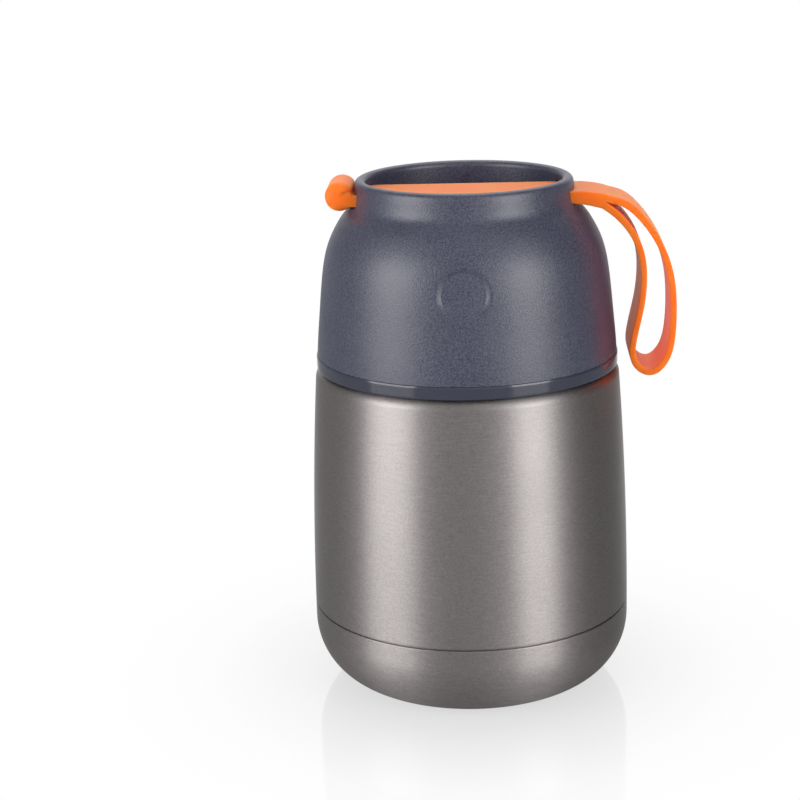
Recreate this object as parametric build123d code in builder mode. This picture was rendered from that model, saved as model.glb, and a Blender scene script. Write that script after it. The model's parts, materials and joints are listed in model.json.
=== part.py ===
from build123d import *
import os
from math import cos, radians, sin

# Vacuum-insulated food jar with a screw-on bowl lid and a silicone carry strap.
# Millimetres, +Z up the jar's axis. The origin is where that axis meets the surface
# that the jar stands on. The strap's loop hangs at +X, the lid's dimple faces -Y.

# ---------------------------------------------------------------- driving dimensions

# Steel body: the outer face, from the floor up
base_flat_radius = 31.8
base_corner_height = 20.5
belly_radius = 50.6
waist_inset = 0.6
waist_drop = 43.1
shoulder_inset = 2.7
shoulder_round = 3.0
shoulder_height = 103.1
shoulder_width = 10.8
neck_root_fillet = 1.5
neck_length = 13.3
shell_wall = 0.7

# Seam between the outer shell and the base cup
seam_height = 25.9
seam_width = 0.5
lap_length = 4.0
lap_overlap = 3.0
lap_clearance = 0.1

# Inner vessel and what stands in the vacuum
vacuum_gap = 3.0
neck_vacuum_gap = 0.8
vessel_wall = 0.6
vessel_floor_height = 8.0
vessel_shoulder_round = 4.0
lip_height = 0.6
lip_edge_round = 0.25
getter_radius = 6.0
getter_height = 2.5
getter_offset = 15.0

# Base cover disc and the vacuum seal above it
base_disc_radius = 23.7
base_disc_thickness = 0.8
base_disc_clearance = 0.3
glue_gap = 0.2
seal_dimple_radius = 8.0
seal_dimple_depth = 1.4
seal_radius = 4.0
seal_taper = 12
seal_hole_radius = 1.2

# Stopper: plug inside the mouth, threaded skirt outside the neck
plug_clearance = 0.6
plug_wall = 1.8
plug_depth = 13.6
gasket_height = 1.6
gasket_side_clearance = 0.3
deck_thickness = 1.8
neck_thread_room = 1.1
skirt_wall = 2.6
foot_clearance = 0.3
foot_thickness = 1.0
vent_tube_radius = 4.0
vent_tube_wall = 1.2
foam_clearance = 0.15

# Stopper cap with a scalloped grip around the vent well
cap_edge_inset = 0.4
cap_base_thickness = 2.0
grip_radius = 29.0
grip_height = 6.0
grip_wall = 3.5
grip_top_wall = 2.0
grip_edge_fillet = 0.8
scallop_count = 12
scallop_radius = 5.0
scallop_depth = 1.6
well_radius = 10.2
well_wall = 2.2
well_floor = 1.6

# Vent button, its spring and its seal
stem_radius = 2.55
stem_clearance = 0.05
button_clearance = 0.5
button_height = 3.0
button_crown = 0.9
spring_height = 5.0
spring_radius = 5.0
spring_wire = 0.6
spring_turns = 3
vent_seal_radius = 6.0
vent_seal_height = 1.6
stem_head_radius = 3.6
stem_head_height = 1.0

# Lid: glossy band at the foot, dome, neck with a rolled rim
lid_foot_gap = 0.5
band_height = 4.0
band_proud = 0.3
band_edge_round = 0.25
dome_wall = 2.0
lid_step = 0.8
dome_height = 45.5
dome_draw = 11.1
lid_neck_draw = 1.65
lid_neck_rise = 2.5
rim_draw = 0.45
rim_width = 3.6
rim_height = 9.3
recess_depth = 11.4
recess_corner_round = 1.5

# Lid liner, the bowl's inside
lid_thread_room = 1.5
lid_thread_height = 12.0
liner_gap = 0.3
liner_wall = 1.5
bowl_flat_inset = 4.0
lid_gasket_height = 1.6
lid_gasket_width = 1.7

# Round dimple in the front of the dome
dimple_radius = 6.6
dimple_rise = 26.6
dimple_depth = 0.5

# Strap: one moulded band, doubled where it leaves the lid
strap_width = 20.0
strap_thickness = 1.9
strap_drop = 5.7
slot_side_clearance = 0.5
slot_play = 0.4
slot_corner_round = 1.2
knob_radius = 4.6
knob_centre_rise = 1.3
knob_neck_clearance = 0.3
knob_overhang = 8.3
knob_heel_round = 1.6
knob_end_fillet = 1.5
hinge_overhang = 4.1
hinge_gap = 0.3
loop_steps = 24

# ------------------------------------------------------------------- derived sizes

waist_radius = belly_radius - waist_inset
shoulder_radius = belly_radius - shoulder_inset
waist_height = shoulder_height - waist_drop
neck_radius = shoulder_radius - shoulder_width
neck_top = shoulder_height + neck_length
lip_top = neck_top + lip_height
vessel_inset = shell_wall + vacuum_gap
vessel_neck_radius = neck_radius - shell_wall - neck_vacuum_gap
mouth_radius = vessel_neck_radius - vessel_wall
recess_ceiling = base_disc_thickness + glue_gap

plug_radius = mouth_radius - plug_clearance
plug_bottom = lip_top - plug_depth
deck_bottom = lip_top + gasket_height
deck_top = deck_bottom + deck_thickness
skirt_bore = neck_radius + neck_thread_room
skirt_radius = skirt_bore + skirt_wall
foot_bottom = shoulder_height + foot_clearance
foot_top = foot_bottom + foot_thickness

cap_base_top = deck_top + cap_base_thickness
grip_top = cap_base_top + grip_height
well_bottom = deck_top + well_floor
button_bottom = well_bottom + spring_height
button_radius = well_radius - button_clearance

lid_bottom = shoulder_height + lid_foot_gap
band_top = lid_bottom + band_height
dome_top = band_top + dome_height
dome_foot_radius = shoulder_radius - lid_step
dome_top_radius = dome_foot_radius - dome_draw
bowl_flat_radius = dome_top_radius - bowl_flat_inset
lid_neck_radius = dome_top_radius - lid_neck_draw
rim_radius = lid_neck_radius - rim_draw
rim_inner_radius = rim_radius - rim_width
rim_top = dome_top + rim_height
rim_round = rim_width / 2
recess_floor = rim_top - recess_depth
recess_underside = recess_floor - dome_wall
lid_bore = skirt_radius + lid_thread_room
gasket_ledge = foot_top + lid_gasket_height
lid_gasket_radius = lid_bore + lid_gasket_width / 2
liner_inset = dome_wall + liner_gap
liner_top = recess_underside - liner_gap

dimple_height = band_top + dimple_rise
strap_height = rim_top - strap_drop
hinge_reach = rim_radius + hinge_overhang
slot_height = 2 * (strap_thickness + slot_play)

# Points of the dome's outer face: share of the way in from its foot to its top, share
# of its height, lean in degrees
dome_points = [
    (0.0, 0.0, 3.0),
    (0.104, 0.300, 5.5),
    (0.216, 0.558, 9.0),
    (0.387, 0.752, 17.5),
    (0.689, 0.905, 32.0),
    (0.869, 0.967, 43.0),
    (1.0, 1.0, 45.0),
]


def dome_path(inset, count):
    """The first count points of the dome, moved inwards square to its face."""
    path = []
    for way_in, rise, lean in dome_points[:count]:
        angle = radians(lean)
        radius = dome_foot_radius - way_in * dome_draw
        height = band_top + rise * dome_height
        path.append((radius - inset * cos(angle), height - inset * sin(angle)))
    return path


def lean_direction(lean):
    """The direction up the dome's face where it leans in by an angle."""
    return (-sin(radians(lean)), cos(radians(lean)))


def jar_outline(inset, floor, round_radius, neck, top):
    """Draw the body's closed half section, inset from its outer face."""
    corner = EllipticalCenterArc(
        (base_flat_radius, base_corner_height),
        belly_radius - inset - base_flat_radius,
        base_corner_height - floor,
        start_angle=270,
        arc_size=90,
    )
    shoulder = shoulder_height - inset
    round_centre = (shoulder_radius - inset - round_radius, shoulder - round_radius)
    rounding = CenterArc(round_centre, round_radius, 0, 90)
    ThreePointArc(corner @ 1, (waist_radius - inset, waist_height), rounding @ 0)
    root = CenterArc(
        (neck + neck_root_fillet, shoulder + neck_root_fillet), neck_root_fillet, 180, 90
    )
    Line(rounding @ 1, root @ 1)
    Polyline(root @ 0, (neck, top), (0, top), (0, floor), corner @ 0)


# ---------------------------------------------------------------------- steel body

with BuildPart() as body_skin:
    with BuildSketch(Plane.XZ):
        with BuildLine():
            jar_outline(0, 0, shoulder_round, neck_radius, neck_top)
        make_face()
    revolve(axis=Axis.Z)
    with BuildSketch(Plane.XZ):
        with BuildLine():
            jar_outline(
                shell_wall,
                shell_wall,
                shoulder_round - shell_wall,
                neck_radius - shell_wall,
                neck_top + shell_wall,
            )
        make_face()
    revolve(axis=Axis.Z, mode=Mode.SUBTRACT)

with BuildPart() as outer_shell:
    add(body_skin.part)
    split(bisect_by=Plane.XY.offset(seam_height + seam_width / 2), keep=Keep.TOP)

seam_inner_radius = belly_radius - shell_wall
lap_radius = seam_inner_radius - lap_clearance

with BuildPart() as base_cup:
    add(body_skin.part)
    split(bisect_by=Plane.XY.offset(seam_height - seam_width / 2), keep=Keep.BOTTOM)
    # joggled lap that stands up inside the outer shell
    with BuildSketch(Plane.XZ):
        with BuildLine():
            Polyline(
                (lap_radius - shell_wall, seam_height - lap_overlap),
                (seam_inner_radius + shell_wall / 2, seam_height - lap_overlap),
                (seam_inner_radius + shell_wall / 2, seam_height - seam_width / 2),
                (lap_radius, seam_height - seam_width / 2),
                (lap_radius, seam_height + lap_length),
                (lap_radius - shell_wall, seam_height + lap_length),
                close=True,
            )
        make_face()
    revolve(axis=Axis.Z)
    # floor raised over the cover disc, and once more over the vacuum seal
    disc_recess_radius = base_disc_radius + base_disc_clearance
    with BuildSketch(Plane.XY):
        Circle(disc_recess_radius + shell_wall)
    extrude(amount=recess_ceiling + shell_wall)
    with BuildSketch(Plane.XY):
        Circle(seal_dimple_radius + shell_wall)
    extrude(amount=recess_ceiling + seal_dimple_depth + shell_wall)
    with BuildSketch(Plane.XY):
        Circle(disc_recess_radius)
    extrude(amount=recess_ceiling, mode=Mode.SUBTRACT)
    with BuildSketch(Plane.XY):
        Circle(seal_dimple_radius)
    extrude(amount=recess_ceiling + seal_dimple_depth, mode=Mode.SUBTRACT)
    with Locations((0, 0, recess_ceiling + seal_dimple_depth)):
        Hole(seal_hole_radius)

with BuildPart() as base_disc:
    with BuildSketch(Plane.XY):
        Circle(base_disc_radius)
    extrude(amount=base_disc_thickness)
    fillet(base_disc.faces().sort_by(Axis.Z)[-1].edges(), base_disc_thickness / 3)

with BuildPart() as vacuum_seal:
    seal_ceiling = recess_ceiling + seal_dimple_depth
    with BuildSketch(Plane.XY.offset(recess_ceiling)):
        Circle(seal_radius)
    extrude(amount=seal_dimple_depth, taper=seal_taper)
    with BuildSketch(Plane.XY.offset(seal_ceiling)):
        Circle(seal_hole_radius)
    extrude(amount=shell_wall)

with BuildPart() as inner_vessel:
    with BuildSketch(Plane.XZ):
        with BuildLine():
            jar_outline(
                vessel_inset,
                vessel_floor_height,
                vessel_shoulder_round,
                vessel_neck_radius,
                neck_top,
            )
        make_face()
    revolve(axis=Axis.Z)
    with BuildSketch(Plane.XY.offset(neck_top)):
        Circle(neck_radius)
    extrude(amount=lip_height)
    with BuildSketch(Plane.XZ):
        with BuildLine():
            jar_outline(
                vessel_inset + vessel_wall,
                vessel_floor_height + vessel_wall,
                vessel_shoulder_round - vessel_wall,
                mouth_radius,
                lip_top + vessel_wall,
            )
        make_face()
    revolve(axis=Axis.Z, mode=Mode.SUBTRACT)
    fillet(inner_vessel.faces().sort_by(Axis.Z)[-1].edges(), lip_edge_round)

with BuildPart() as getter:
    with BuildSketch(Plane.XY.offset(vessel_floor_height)):
        with Locations((getter_offset, 0)):
            Circle(getter_radius)
    extrude(amount=-getter_height)
    chamfer(getter.faces().sort_by(Axis.Z)[0].edges(), getter_height / 4)

# ------------------------------------------------------------------------- stopper

with BuildPart() as stopper_gasket:
    with BuildSketch(Plane.XY.offset(lip_top)):
        Circle(skirt_bore - gasket_side_clearance)
        Circle(plug_radius + gasket_side_clearance, mode=Mode.SUBTRACT)
    extrude(amount=gasket_height)

with BuildPart() as stopper_body:
    # skirt, deck and plug
    with BuildSketch(Plane.XY.offset(foot_bottom)):
        Circle(skirt_radius)
    extrude(amount=deck_top - foot_bottom)
    with BuildSketch(Plane.XY.offset(foot_bottom)):
        Circle(lid_gasket_radius)
    extrude(amount=foot_thickness)
    with BuildSketch(Plane.XY.offset(foot_bottom)):
        Circle(skirt_bore)
    extrude(amount=deck_bottom - foot_bottom, mode=Mode.SUBTRACT)
    with BuildSketch(Plane.XY.offset(plug_bottom)):
        Circle(plug_radius)
    extrude(amount=deck_top - plug_bottom)
    # insulated space, left open at the top for the cap
    with BuildSketch(Plane.XY.offset(plug_bottom + plug_wall)):
        Circle(plug_radius - plug_wall)
        Circle(vent_tube_radius + vent_tube_wall, mode=Mode.SUBTRACT)
    extrude(amount=deck_top - plug_bottom, mode=Mode.SUBTRACT)
    with BuildSketch(Plane.XY.offset(plug_bottom)):
        Circle(vent_tube_radius)
    extrude(amount=deck_top - plug_bottom, mode=Mode.SUBTRACT)
    fillet(
        stopper_body.edges().filter_by(GeomType.CIRCLE).group_by(Axis.Z)[0].sort_by(
            SortBy.RADIUS
        )[-1],
        plug_wall / 2,
    )

with BuildPart() as stopper_foam:
    with BuildSketch(Plane.XY.offset(plug_bottom + plug_wall + foam_clearance)):
        Circle(plug_radius - plug_wall - foam_clearance)
        Circle(vent_tube_radius + vent_tube_wall + foam_clearance, mode=Mode.SUBTRACT)
    extrude(amount=deck_top - plug_bottom - plug_wall - 2 * foam_clearance)

with BuildPart() as stopper_cap:
    with BuildSketch(Plane.XY.offset(deck_top)):
        Circle(skirt_radius - cap_edge_inset)
    extrude(amount=cap_base_thickness)
    with BuildSketch(Plane.XY.offset(cap_base_top)):
        Circle(grip_radius)
        with PolarLocations(grip_radius + scallop_radius - scallop_depth, scallop_count):
            Circle(scallop_radius, mode=Mode.SUBTRACT)
    extrude(amount=grip_height)
    fillet(stopper_cap.faces().sort_by(Axis.Z)[-1].edges(), grip_edge_fillet)
    # hollow underneath, around the well
    with BuildSketch(Plane.XY.offset(deck_top)):
        Circle(grip_radius - grip_wall)
        Circle(well_radius + well_wall, mode=Mode.SUBTRACT)
    extrude(amount=grip_top - grip_top_wall - deck_top, mode=Mode.SUBTRACT)
    with BuildSketch(Plane.XY.offset(well_bottom)):
        Circle(well_radius)
    extrude(amount=grip_height + cap_base_thickness, mode=Mode.SUBTRACT)
    with Locations((0, 0, well_bottom)):
        Hole(stem_radius + stem_clearance)

with BuildPart() as vent_button:
    with BuildSketch(Plane.XZ):
        with BuildLine():
            edge = button_bottom + button_height - button_crown
            crown = button_bottom + button_height
            Polyline(
                (0, crown),
                (0, plug_bottom - vent_seal_height - stem_head_height),
                (stem_head_radius, plug_bottom - vent_seal_height - stem_head_height),
                (stem_head_radius, plug_bottom - vent_seal_height),
                (stem_radius, plug_bottom - vent_seal_height),
                (stem_radius, button_bottom),
                (button_radius, button_bottom),
                (button_radius, edge),
            )
            TangentArc((0, crown), (button_radius, edge), tangent=(1, 0))
        make_face()
    revolve(axis=Axis.Z)

with BuildPart() as vent_seal:
    with BuildSketch(Plane.XY.offset(plug_bottom)):
        Circle(vent_seal_radius)
        Circle(stem_radius, mode=Mode.SUBTRACT)
    extrude(amount=-vent_seal_height)
    fillet(
        vent_seal.edges().filter_by(GeomType.CIRCLE).group_by(Axis.Z)[0].sort_by(
            SortBy.RADIUS
        )[-1],
        vent_seal_height / 3,
    )

with BuildPart() as vent_spring:
    coil_height = spring_height - spring_wire
    with BuildLine(Plane.XY.offset(well_bottom + spring_wire / 2)):
        coil = Helix(pitch=coil_height / spring_turns, height=coil_height, radius=spring_radius)
    with BuildSketch(Plane(origin=coil @ 0, z_dir=coil % 0)):
        Circle(spring_wire / 2)
    sweep()

# ----------------------------------------------------------------------------- lid

with BuildPart() as lid_gasket:
    with BuildSketch(Plane.XY.offset(foot_top)):
        Circle(lid_gasket_radius)
        Circle(lid_gasket_radius - lid_gasket_width, mode=Mode.SUBTRACT)
    extrude(amount=lid_gasket_height)

with BuildPart() as lid_liner:
    with BuildSketch(Plane.XZ):
        with BuildLine():
            outside = dome_path(liner_inset, 4)
            inside = dome_path(liner_inset + liner_wall, 4)[2:]
            thread_top = gasket_ledge + lid_thread_height
            counterbore = lid_gasket_radius + gasket_side_clearance
            Polyline(
                (lid_bore, thread_top),
                (lid_bore, gasket_ledge),
                (counterbore, gasket_ledge),
                (counterbore, lid_bottom),
                (dome_foot_radius + band_proud, lid_bottom),
                (dome_foot_radius + band_proud, band_top),
                outside[0],
            )
            Spline(
                *outside,
                (bowl_flat_radius, liner_top),
                tangents=[lean_direction(dome_points[0][2]), (-1, 0)],
            )
            Polyline(
                (bowl_flat_radius, liner_top),
                (0, liner_top),
                (0, liner_top - liner_wall),
                (bowl_flat_radius - liner_wall, liner_top - liner_wall),
            )
            Spline(
                (lid_bore, thread_top),
                *inside,
                (bowl_flat_radius - liner_wall, liner_top - liner_wall),
                tangents=[(0, 1), (-1, 0)],
            )
        make_face()
    revolve(axis=Axis.Z)
    fillet(
        lid_liner.edges().filter_by(GeomType.CIRCLE).group_by(SortBy.RADIUS)[-1],
        band_edge_round,
    )

# what the dimple takes out: a round bar, less the dome inset by the dimple's depth
with BuildPart() as dimple_tool:
    with BuildSketch(Plane.XZ.offset(dome_foot_radius / 2)):
        with Locations((0, dimple_height)):
            Circle(dimple_radius)
    extrude(amount=dome_foot_radius)
    with BuildSketch(Plane.XZ):
        with BuildLine():
            floor_path = dome_path(dimple_depth, len(dome_points))
            Spline(
                *floor_path,
                tangents=[
                    lean_direction(dome_points[0][2]),
                    lean_direction(dome_points[-1][2]),
                ],
            )
            Polyline(
                floor_path[-1],
                (0, floor_path[-1][1]),
                (0, floor_path[0][1]),
                floor_path[0],
            )
        make_face()
    revolve(axis=Axis.Z, mode=Mode.SUBTRACT)

with BuildPart() as lid_shell:
    with BuildSketch(Plane.XZ):
        with BuildLine():
            face = dome_path(0, len(dome_points))
            back = dome_path(dome_wall, len(dome_points))
            ends = [
                lean_direction(dome_points[0][2]),
                lean_direction(dome_points[-1][2]),
            ]
            rim_shoulder = rim_top - rim_round
            Spline(*face, tangents=ends)
            Spline(
                face[-1],
                (lid_neck_radius, dome_top + lid_neck_rise),
                (rim_radius, rim_shoulder),
                tangents=[ends[1], (0, 1)],
            )
            ThreePointArc(
                (rim_radius, rim_shoulder),
                (rim_radius - rim_round, rim_top),
                (rim_inner_radius, rim_shoulder),
            )
            corner_start = (rim_inner_radius, recess_floor + recess_corner_round)
            corner_end = (rim_inner_radius - recess_corner_round, recess_floor)
            Line((rim_inner_radius, rim_shoulder), corner_start)
            TangentArc(corner_start, corner_end, tangent=(0, -1))
            Polyline(
                corner_end,
                (0, recess_floor),
                (0, recess_underside),
                (rim_inner_radius + dome_wall, recess_underside),
                (rim_inner_radius + dome_wall, back[-1][1]),
                back[-1],
            )
            Spline(*back, tangents=ends)
            Line(back[0], face[0])
        make_face()
    revolve(axis=Axis.Z)
    # one cut makes both strap slots, in the neck's two sides
    with BuildSketch(Plane.YZ.offset(-rim_radius - rim_round)):
        with Locations((0, strap_height)):
            RectangleRounded(
                strap_width + 2 * slot_side_clearance, slot_height, slot_corner_round
            )
    extrude(amount=2 * (rim_radius + rim_round), mode=Mode.SUBTRACT)
    add(dimple_tool.part, mode=Mode.SUBTRACT)

# --------------------------------------------------------------------------- strap

knob_centre = (-rim_radius - knob_overhang / 2, strap_height + knob_centre_rise)

with BuildPart() as strap_band:
    with BuildSketch(Plane.XZ):
        with Locations(knob_centre):
            Circle(knob_radius)
        # the knob's flat shoulder bears on the lid's neck
        with Locations((-rim_radius - knob_neck_clearance, knob_centre[1])):
            Rectangle(
                knob_radius,
                3 * knob_radius,
                align=(Align.MIN, Align.CENTER),
                mode=Mode.SUBTRACT,
            )
        fillet(vertices().group_by(Axis.X)[-1], knob_heel_round)
    extrude(amount=strap_width / 2, both=True)
    fillet(strap_band.faces().filter_by(Axis.Y).edges(), knob_end_fillet)
    band_start = knob_centre[0]
    band_end = hinge_reach - strap_thickness - hinge_gap
    with BuildSketch(Plane.XZ):
        with Locations((band_start, strap_height)):
            Rectangle(
                band_end - band_start,
                2 * strap_thickness,
                align=(Align.MIN, Align.CENTER),
            )
    extrude(amount=strap_width / 2, both=True)

# Outline of the gap inside the free loop, from its tip down the lid's side and back
# up the far side: reach beyond the hinge and drop below the strap's middle plane
gap_tip = (6.6, 1.3)
lid_side = [(9.8, 4.8), (12.6, 7.8), (15.6, 13.2), (17.2, 20.0), (17.3, 27.0), (16.2, 38.0)]
loop_foot = [(14.6, 45.5), (15.2, 51.5), (19.0, 54.4), (23.2, 50.3)]
far_side = [(25.0, 42.0), (25.1, 33.0), (23.7, 23.5), (19.8, 13.4), (13.5, 5.6)]


def from_hinge(point):
    """A point of the loop's outline, given by its reach and its drop."""
    reach, drop = point
    return (hinge_reach + reach, strap_height - drop)


def gap_outline(mode=Mode.ADD):
    """Draw the closed outline of the gap inside the loop."""
    tip = from_hinge(gap_tip)
    around = [from_hinge(point) for point in lid_side + loop_foot + far_side]
    return Spline(tip, *around, tip, tangents=[(0.78, -0.62), (-0.9, 0.43)], mode=mode)


def loop_outline():
    """Draw the loop's outer face, the strap's thickness outside the gap all round."""
    gap = gap_outline(Mode.PRIVATE)
    outside = []
    for step in range(loop_steps + 1):
        point = gap @ (step / loop_steps)
        along = gap % (step / loop_steps)
        outside.append(
            (point.X + strap_thickness * along.Y, point.Y - strap_thickness * along.X)
        )
    Spline(*outside)
    Line(outside[-1], outside[0])


with BuildPart() as strap_loop:
    with BuildSketch(Plane.XZ.offset(-strap_width / 2)):
        with BuildLine():
            loop_outline()
        make_face()
        # doubled end, rounded about the line that the loop swings on
        hinge = Vector(hinge_reach, strap_height)
        tip = Vector(*from_hinge(gap_tip))
        SlotCenterPoint((hinge + tip) / 2, hinge, 2 * strap_thickness)
        with BuildLine():
            gap_outline()
        make_face(mode=Mode.SUBTRACT)
    extrude(amount=strap_width)

# -------------------------------------------------------------------------- output

outer_shell.part.label = "outer_shell"
base_cup.part.label = "base_cup"
base_disc.part.label = "base_disc"
vacuum_seal.part.label = "vacuum_seal"
inner_vessel.part.label = "inner_vessel"
getter.part.label = "getter"
stopper_gasket.part.label = "stopper_gasket"
stopper_body.part.label = "stopper_body"
stopper_foam.part.label = "stopper_foam"
stopper_cap.part.label = "stopper_cap"
vent_button.part.label = "vent_button"
vent_seal.part.label = "vent_seal"
vent_spring.part.label = "vent_spring"
lid_gasket.part.label = "lid_gasket"
lid_liner.part.label = "lid_liner"
lid_shell.part.label = "lid_shell"
strap_band.part.label = "strap_band"
strap_loop.part.label = "strap_loop"

os.makedirs("parts", exist_ok=True)
export_step(outer_shell.part, "parts/outer_shell.step")
export_step(base_cup.part, "parts/base_cup.step")
export_step(base_disc.part, "parts/base_disc.step")
export_step(vacuum_seal.part, "parts/vacuum_seal.step")
export_step(inner_vessel.part, "parts/inner_vessel.step")
export_step(getter.part, "parts/getter.step")
export_step(stopper_gasket.part, "parts/stopper_gasket.step")
export_step(stopper_body.part, "parts/stopper_body.step")
export_step(stopper_foam.part, "parts/stopper_foam.step")
export_step(stopper_cap.part, "parts/stopper_cap.step")
export_step(vent_button.part, "parts/vent_button.step")
export_step(vent_seal.part, "parts/vent_seal.step")
export_step(vent_spring.part, "parts/vent_spring.step")
export_step(lid_gasket.part, "parts/lid_gasket.step")
export_step(lid_liner.part, "parts/lid_liner.step")
export_step(lid_shell.part, "parts/lid_shell.step")
export_step(strap_band.part, "parts/strap_band.step")
export_step(strap_loop.part, "parts/strap_loop.step")
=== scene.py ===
"""Dresses the insulated food jar: steel body, vented stopper, domed bowl lid and carry strap.

Sizes in the classes are millimetres. They are turned into metres as each mesh is made.
"""

import json
import logging
import math
from abc import ABC, abstractmethod
from collections.abc import Sequence
from dataclasses import dataclass, field
from enum import Enum

import bmesh
import bpy
import numpy as np
from bpy.types import Material, Node, NodeSocket, Object, World
from mathutils import Matrix, Vector

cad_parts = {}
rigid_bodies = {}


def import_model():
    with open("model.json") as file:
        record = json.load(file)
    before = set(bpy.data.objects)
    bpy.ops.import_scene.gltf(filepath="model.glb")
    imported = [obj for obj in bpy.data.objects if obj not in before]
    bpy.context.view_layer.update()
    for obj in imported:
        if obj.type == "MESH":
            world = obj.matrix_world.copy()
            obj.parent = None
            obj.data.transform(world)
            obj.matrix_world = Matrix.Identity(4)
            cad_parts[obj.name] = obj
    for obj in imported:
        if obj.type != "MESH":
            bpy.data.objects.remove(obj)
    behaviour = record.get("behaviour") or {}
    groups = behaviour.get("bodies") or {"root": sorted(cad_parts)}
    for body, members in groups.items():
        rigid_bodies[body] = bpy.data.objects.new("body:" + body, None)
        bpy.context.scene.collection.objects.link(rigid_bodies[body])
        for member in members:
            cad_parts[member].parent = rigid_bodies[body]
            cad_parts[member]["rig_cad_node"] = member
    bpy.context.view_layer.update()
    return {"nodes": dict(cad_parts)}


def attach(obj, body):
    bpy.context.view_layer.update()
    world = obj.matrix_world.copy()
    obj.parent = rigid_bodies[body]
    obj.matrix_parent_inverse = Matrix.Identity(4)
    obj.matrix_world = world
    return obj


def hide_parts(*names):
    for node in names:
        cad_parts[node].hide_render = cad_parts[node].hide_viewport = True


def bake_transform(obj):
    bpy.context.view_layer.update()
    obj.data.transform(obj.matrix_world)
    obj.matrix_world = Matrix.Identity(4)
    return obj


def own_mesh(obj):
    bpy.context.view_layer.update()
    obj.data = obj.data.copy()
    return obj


MM = 0.001
AXIS_RADIUS = 1e-4
FLAT_RUN = 0.3
STRONG_GRAIN = (0.36, 0.64)
WHITE = (1.0, 1.0, 1.0, 1.0)

Point = tuple[float, float]
Corner = tuple[float, float, float]
Colour = tuple[float, float, float]

log = logging.getLogger("food_jar")


class Body(Enum):
    """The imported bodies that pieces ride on."""

    JAR = "jar"
    STOPPER_RING = "stopper_ring"
    STOPPER = "stopper"
    VENT = "vent"
    LID_RING = "lid_ring"
    LID = "lid"
    STRAP = "strap"


class Slot(Enum):
    """The record's material slots for the pieces made here."""

    BRUSHED_STEEL = "brushed_steel"
    INNER_STEEL = "inner_steel"
    SPRING_STEEL = "spring_steel"
    WHITE_SILICONE = "white_silicone"
    ORANGE_SILICONE = "orange_silicone"
    STOPPER_PLASTIC = "stopper_plastic"
    LINER_PLASTIC = "liner_plastic"
    LID_PLASTIC = "lid_plastic"


class Side(Enum):
    """Which side of a wall a thread or the mouth of a slot is on."""

    OUTSIDE = 1
    INSIDE = -1


# ------------------------------------------------------------------------ drawing lines


def polar(radius: float, angle: float) -> Point:
    """The place at a radius and an angle."""
    return radius * math.cos(angle), radius * math.sin(angle)


def upward(lean: float) -> Point:
    """The direction up a face that leans in by this many degrees."""
    return -math.sin(math.radians(lean)), math.cos(math.radians(lean))


def smooth_step(value: float | np.ndarray, low: float, high: float) -> float | np.ndarray:
    """Ease from 0 at low to 1 at high."""
    t = np.clip((value - low) / (high - low), 0.0, 1.0)
    return t * t * (3 - 2 * t)


def unit(way: np.ndarray) -> np.ndarray:
    """The directions of one arrow or of a row of them, each one long."""
    return way / np.linalg.norm(way, axis=-1, keepdims=True)


def travelled(path: np.ndarray) -> np.ndarray:
    """How far along a path each of its points lies."""
    return np.concatenate([[0.0], np.cumsum(np.linalg.norm(np.diff(path, axis=0), axis=1))])


def smooth_curve(knots: Sequence[Point], start: Point, end: Point, count: int) -> list[Point]:
    """Draw a curve that passes through every knot with no kink.

    Args:
        knots: points that the curve goes through, in order.
        start: direction in which it leaves the first knot.
        end: direction in which it reaches the last knot.
        count: how many points come back.

    Returns:
        Points along the curve, the two end knots among them.
    """
    p = np.array(knots, float)
    places, last = travelled(p), len(p) - 1
    gaps = np.linalg.norm(np.diff(p, axis=0), axis=1)
    system, known = np.eye(last + 1), np.zeros_like(p)
    known[0], known[last] = unit(np.array(start)), unit(np.array(end))
    for i in range(1, last):
        before, after = gaps[i - 1], gaps[i]
        system[i, i - 1 : i + 2] = after, 2 * (before + after), before
        known[i] = 3 * (after * (p[i] - p[i - 1]) / before + before * (p[i + 1] - p[i]) / after)
    slopes = np.linalg.solve(system, known)
    along = np.linspace(0.0, places[-1], count)
    piece = np.clip(np.searchsorted(places, along, side="right") - 1, 0, last - 1)
    gap = gaps[piece][:, None]
    t = (along - places[piece])[:, None] / gap
    drawn = (
        (1 + 2 * t) * (1 - t) ** 2 * p[piece]
        + t * (1 - t) ** 2 * gap * slopes[piece]
        + t**2 * (3 - 2 * t) * p[piece + 1]
        + t**2 * (t - 1) * gap * slopes[piece + 1]
    )
    return [(float(a), float(b)) for a, b in drawn]


def arc(
    centre: Point, bend: float, start: float, sweep: float, count: int, rise: float | None = None
) -> list[Point]:
    """Draw part of a circle or of an upright ellipse.

    Args:
        centre: its middle.
        bend: its radius, or an ellipse's half width.
        start: where it begins, in degrees from the outward direction.
        sweep: how far it goes, in degrees, upwards first where positive.
        count: how many points come back.
        rise: an ellipse's half height.

    Returns:
        Points along the arc, both ends among them.
    """
    rise = bend if rise is None else rise
    turns = np.radians(np.linspace(start, start + sweep, count))
    return [(centre[0] + bend * math.cos(a), centre[1] + rise * math.sin(a)) for a in turns]


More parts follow.
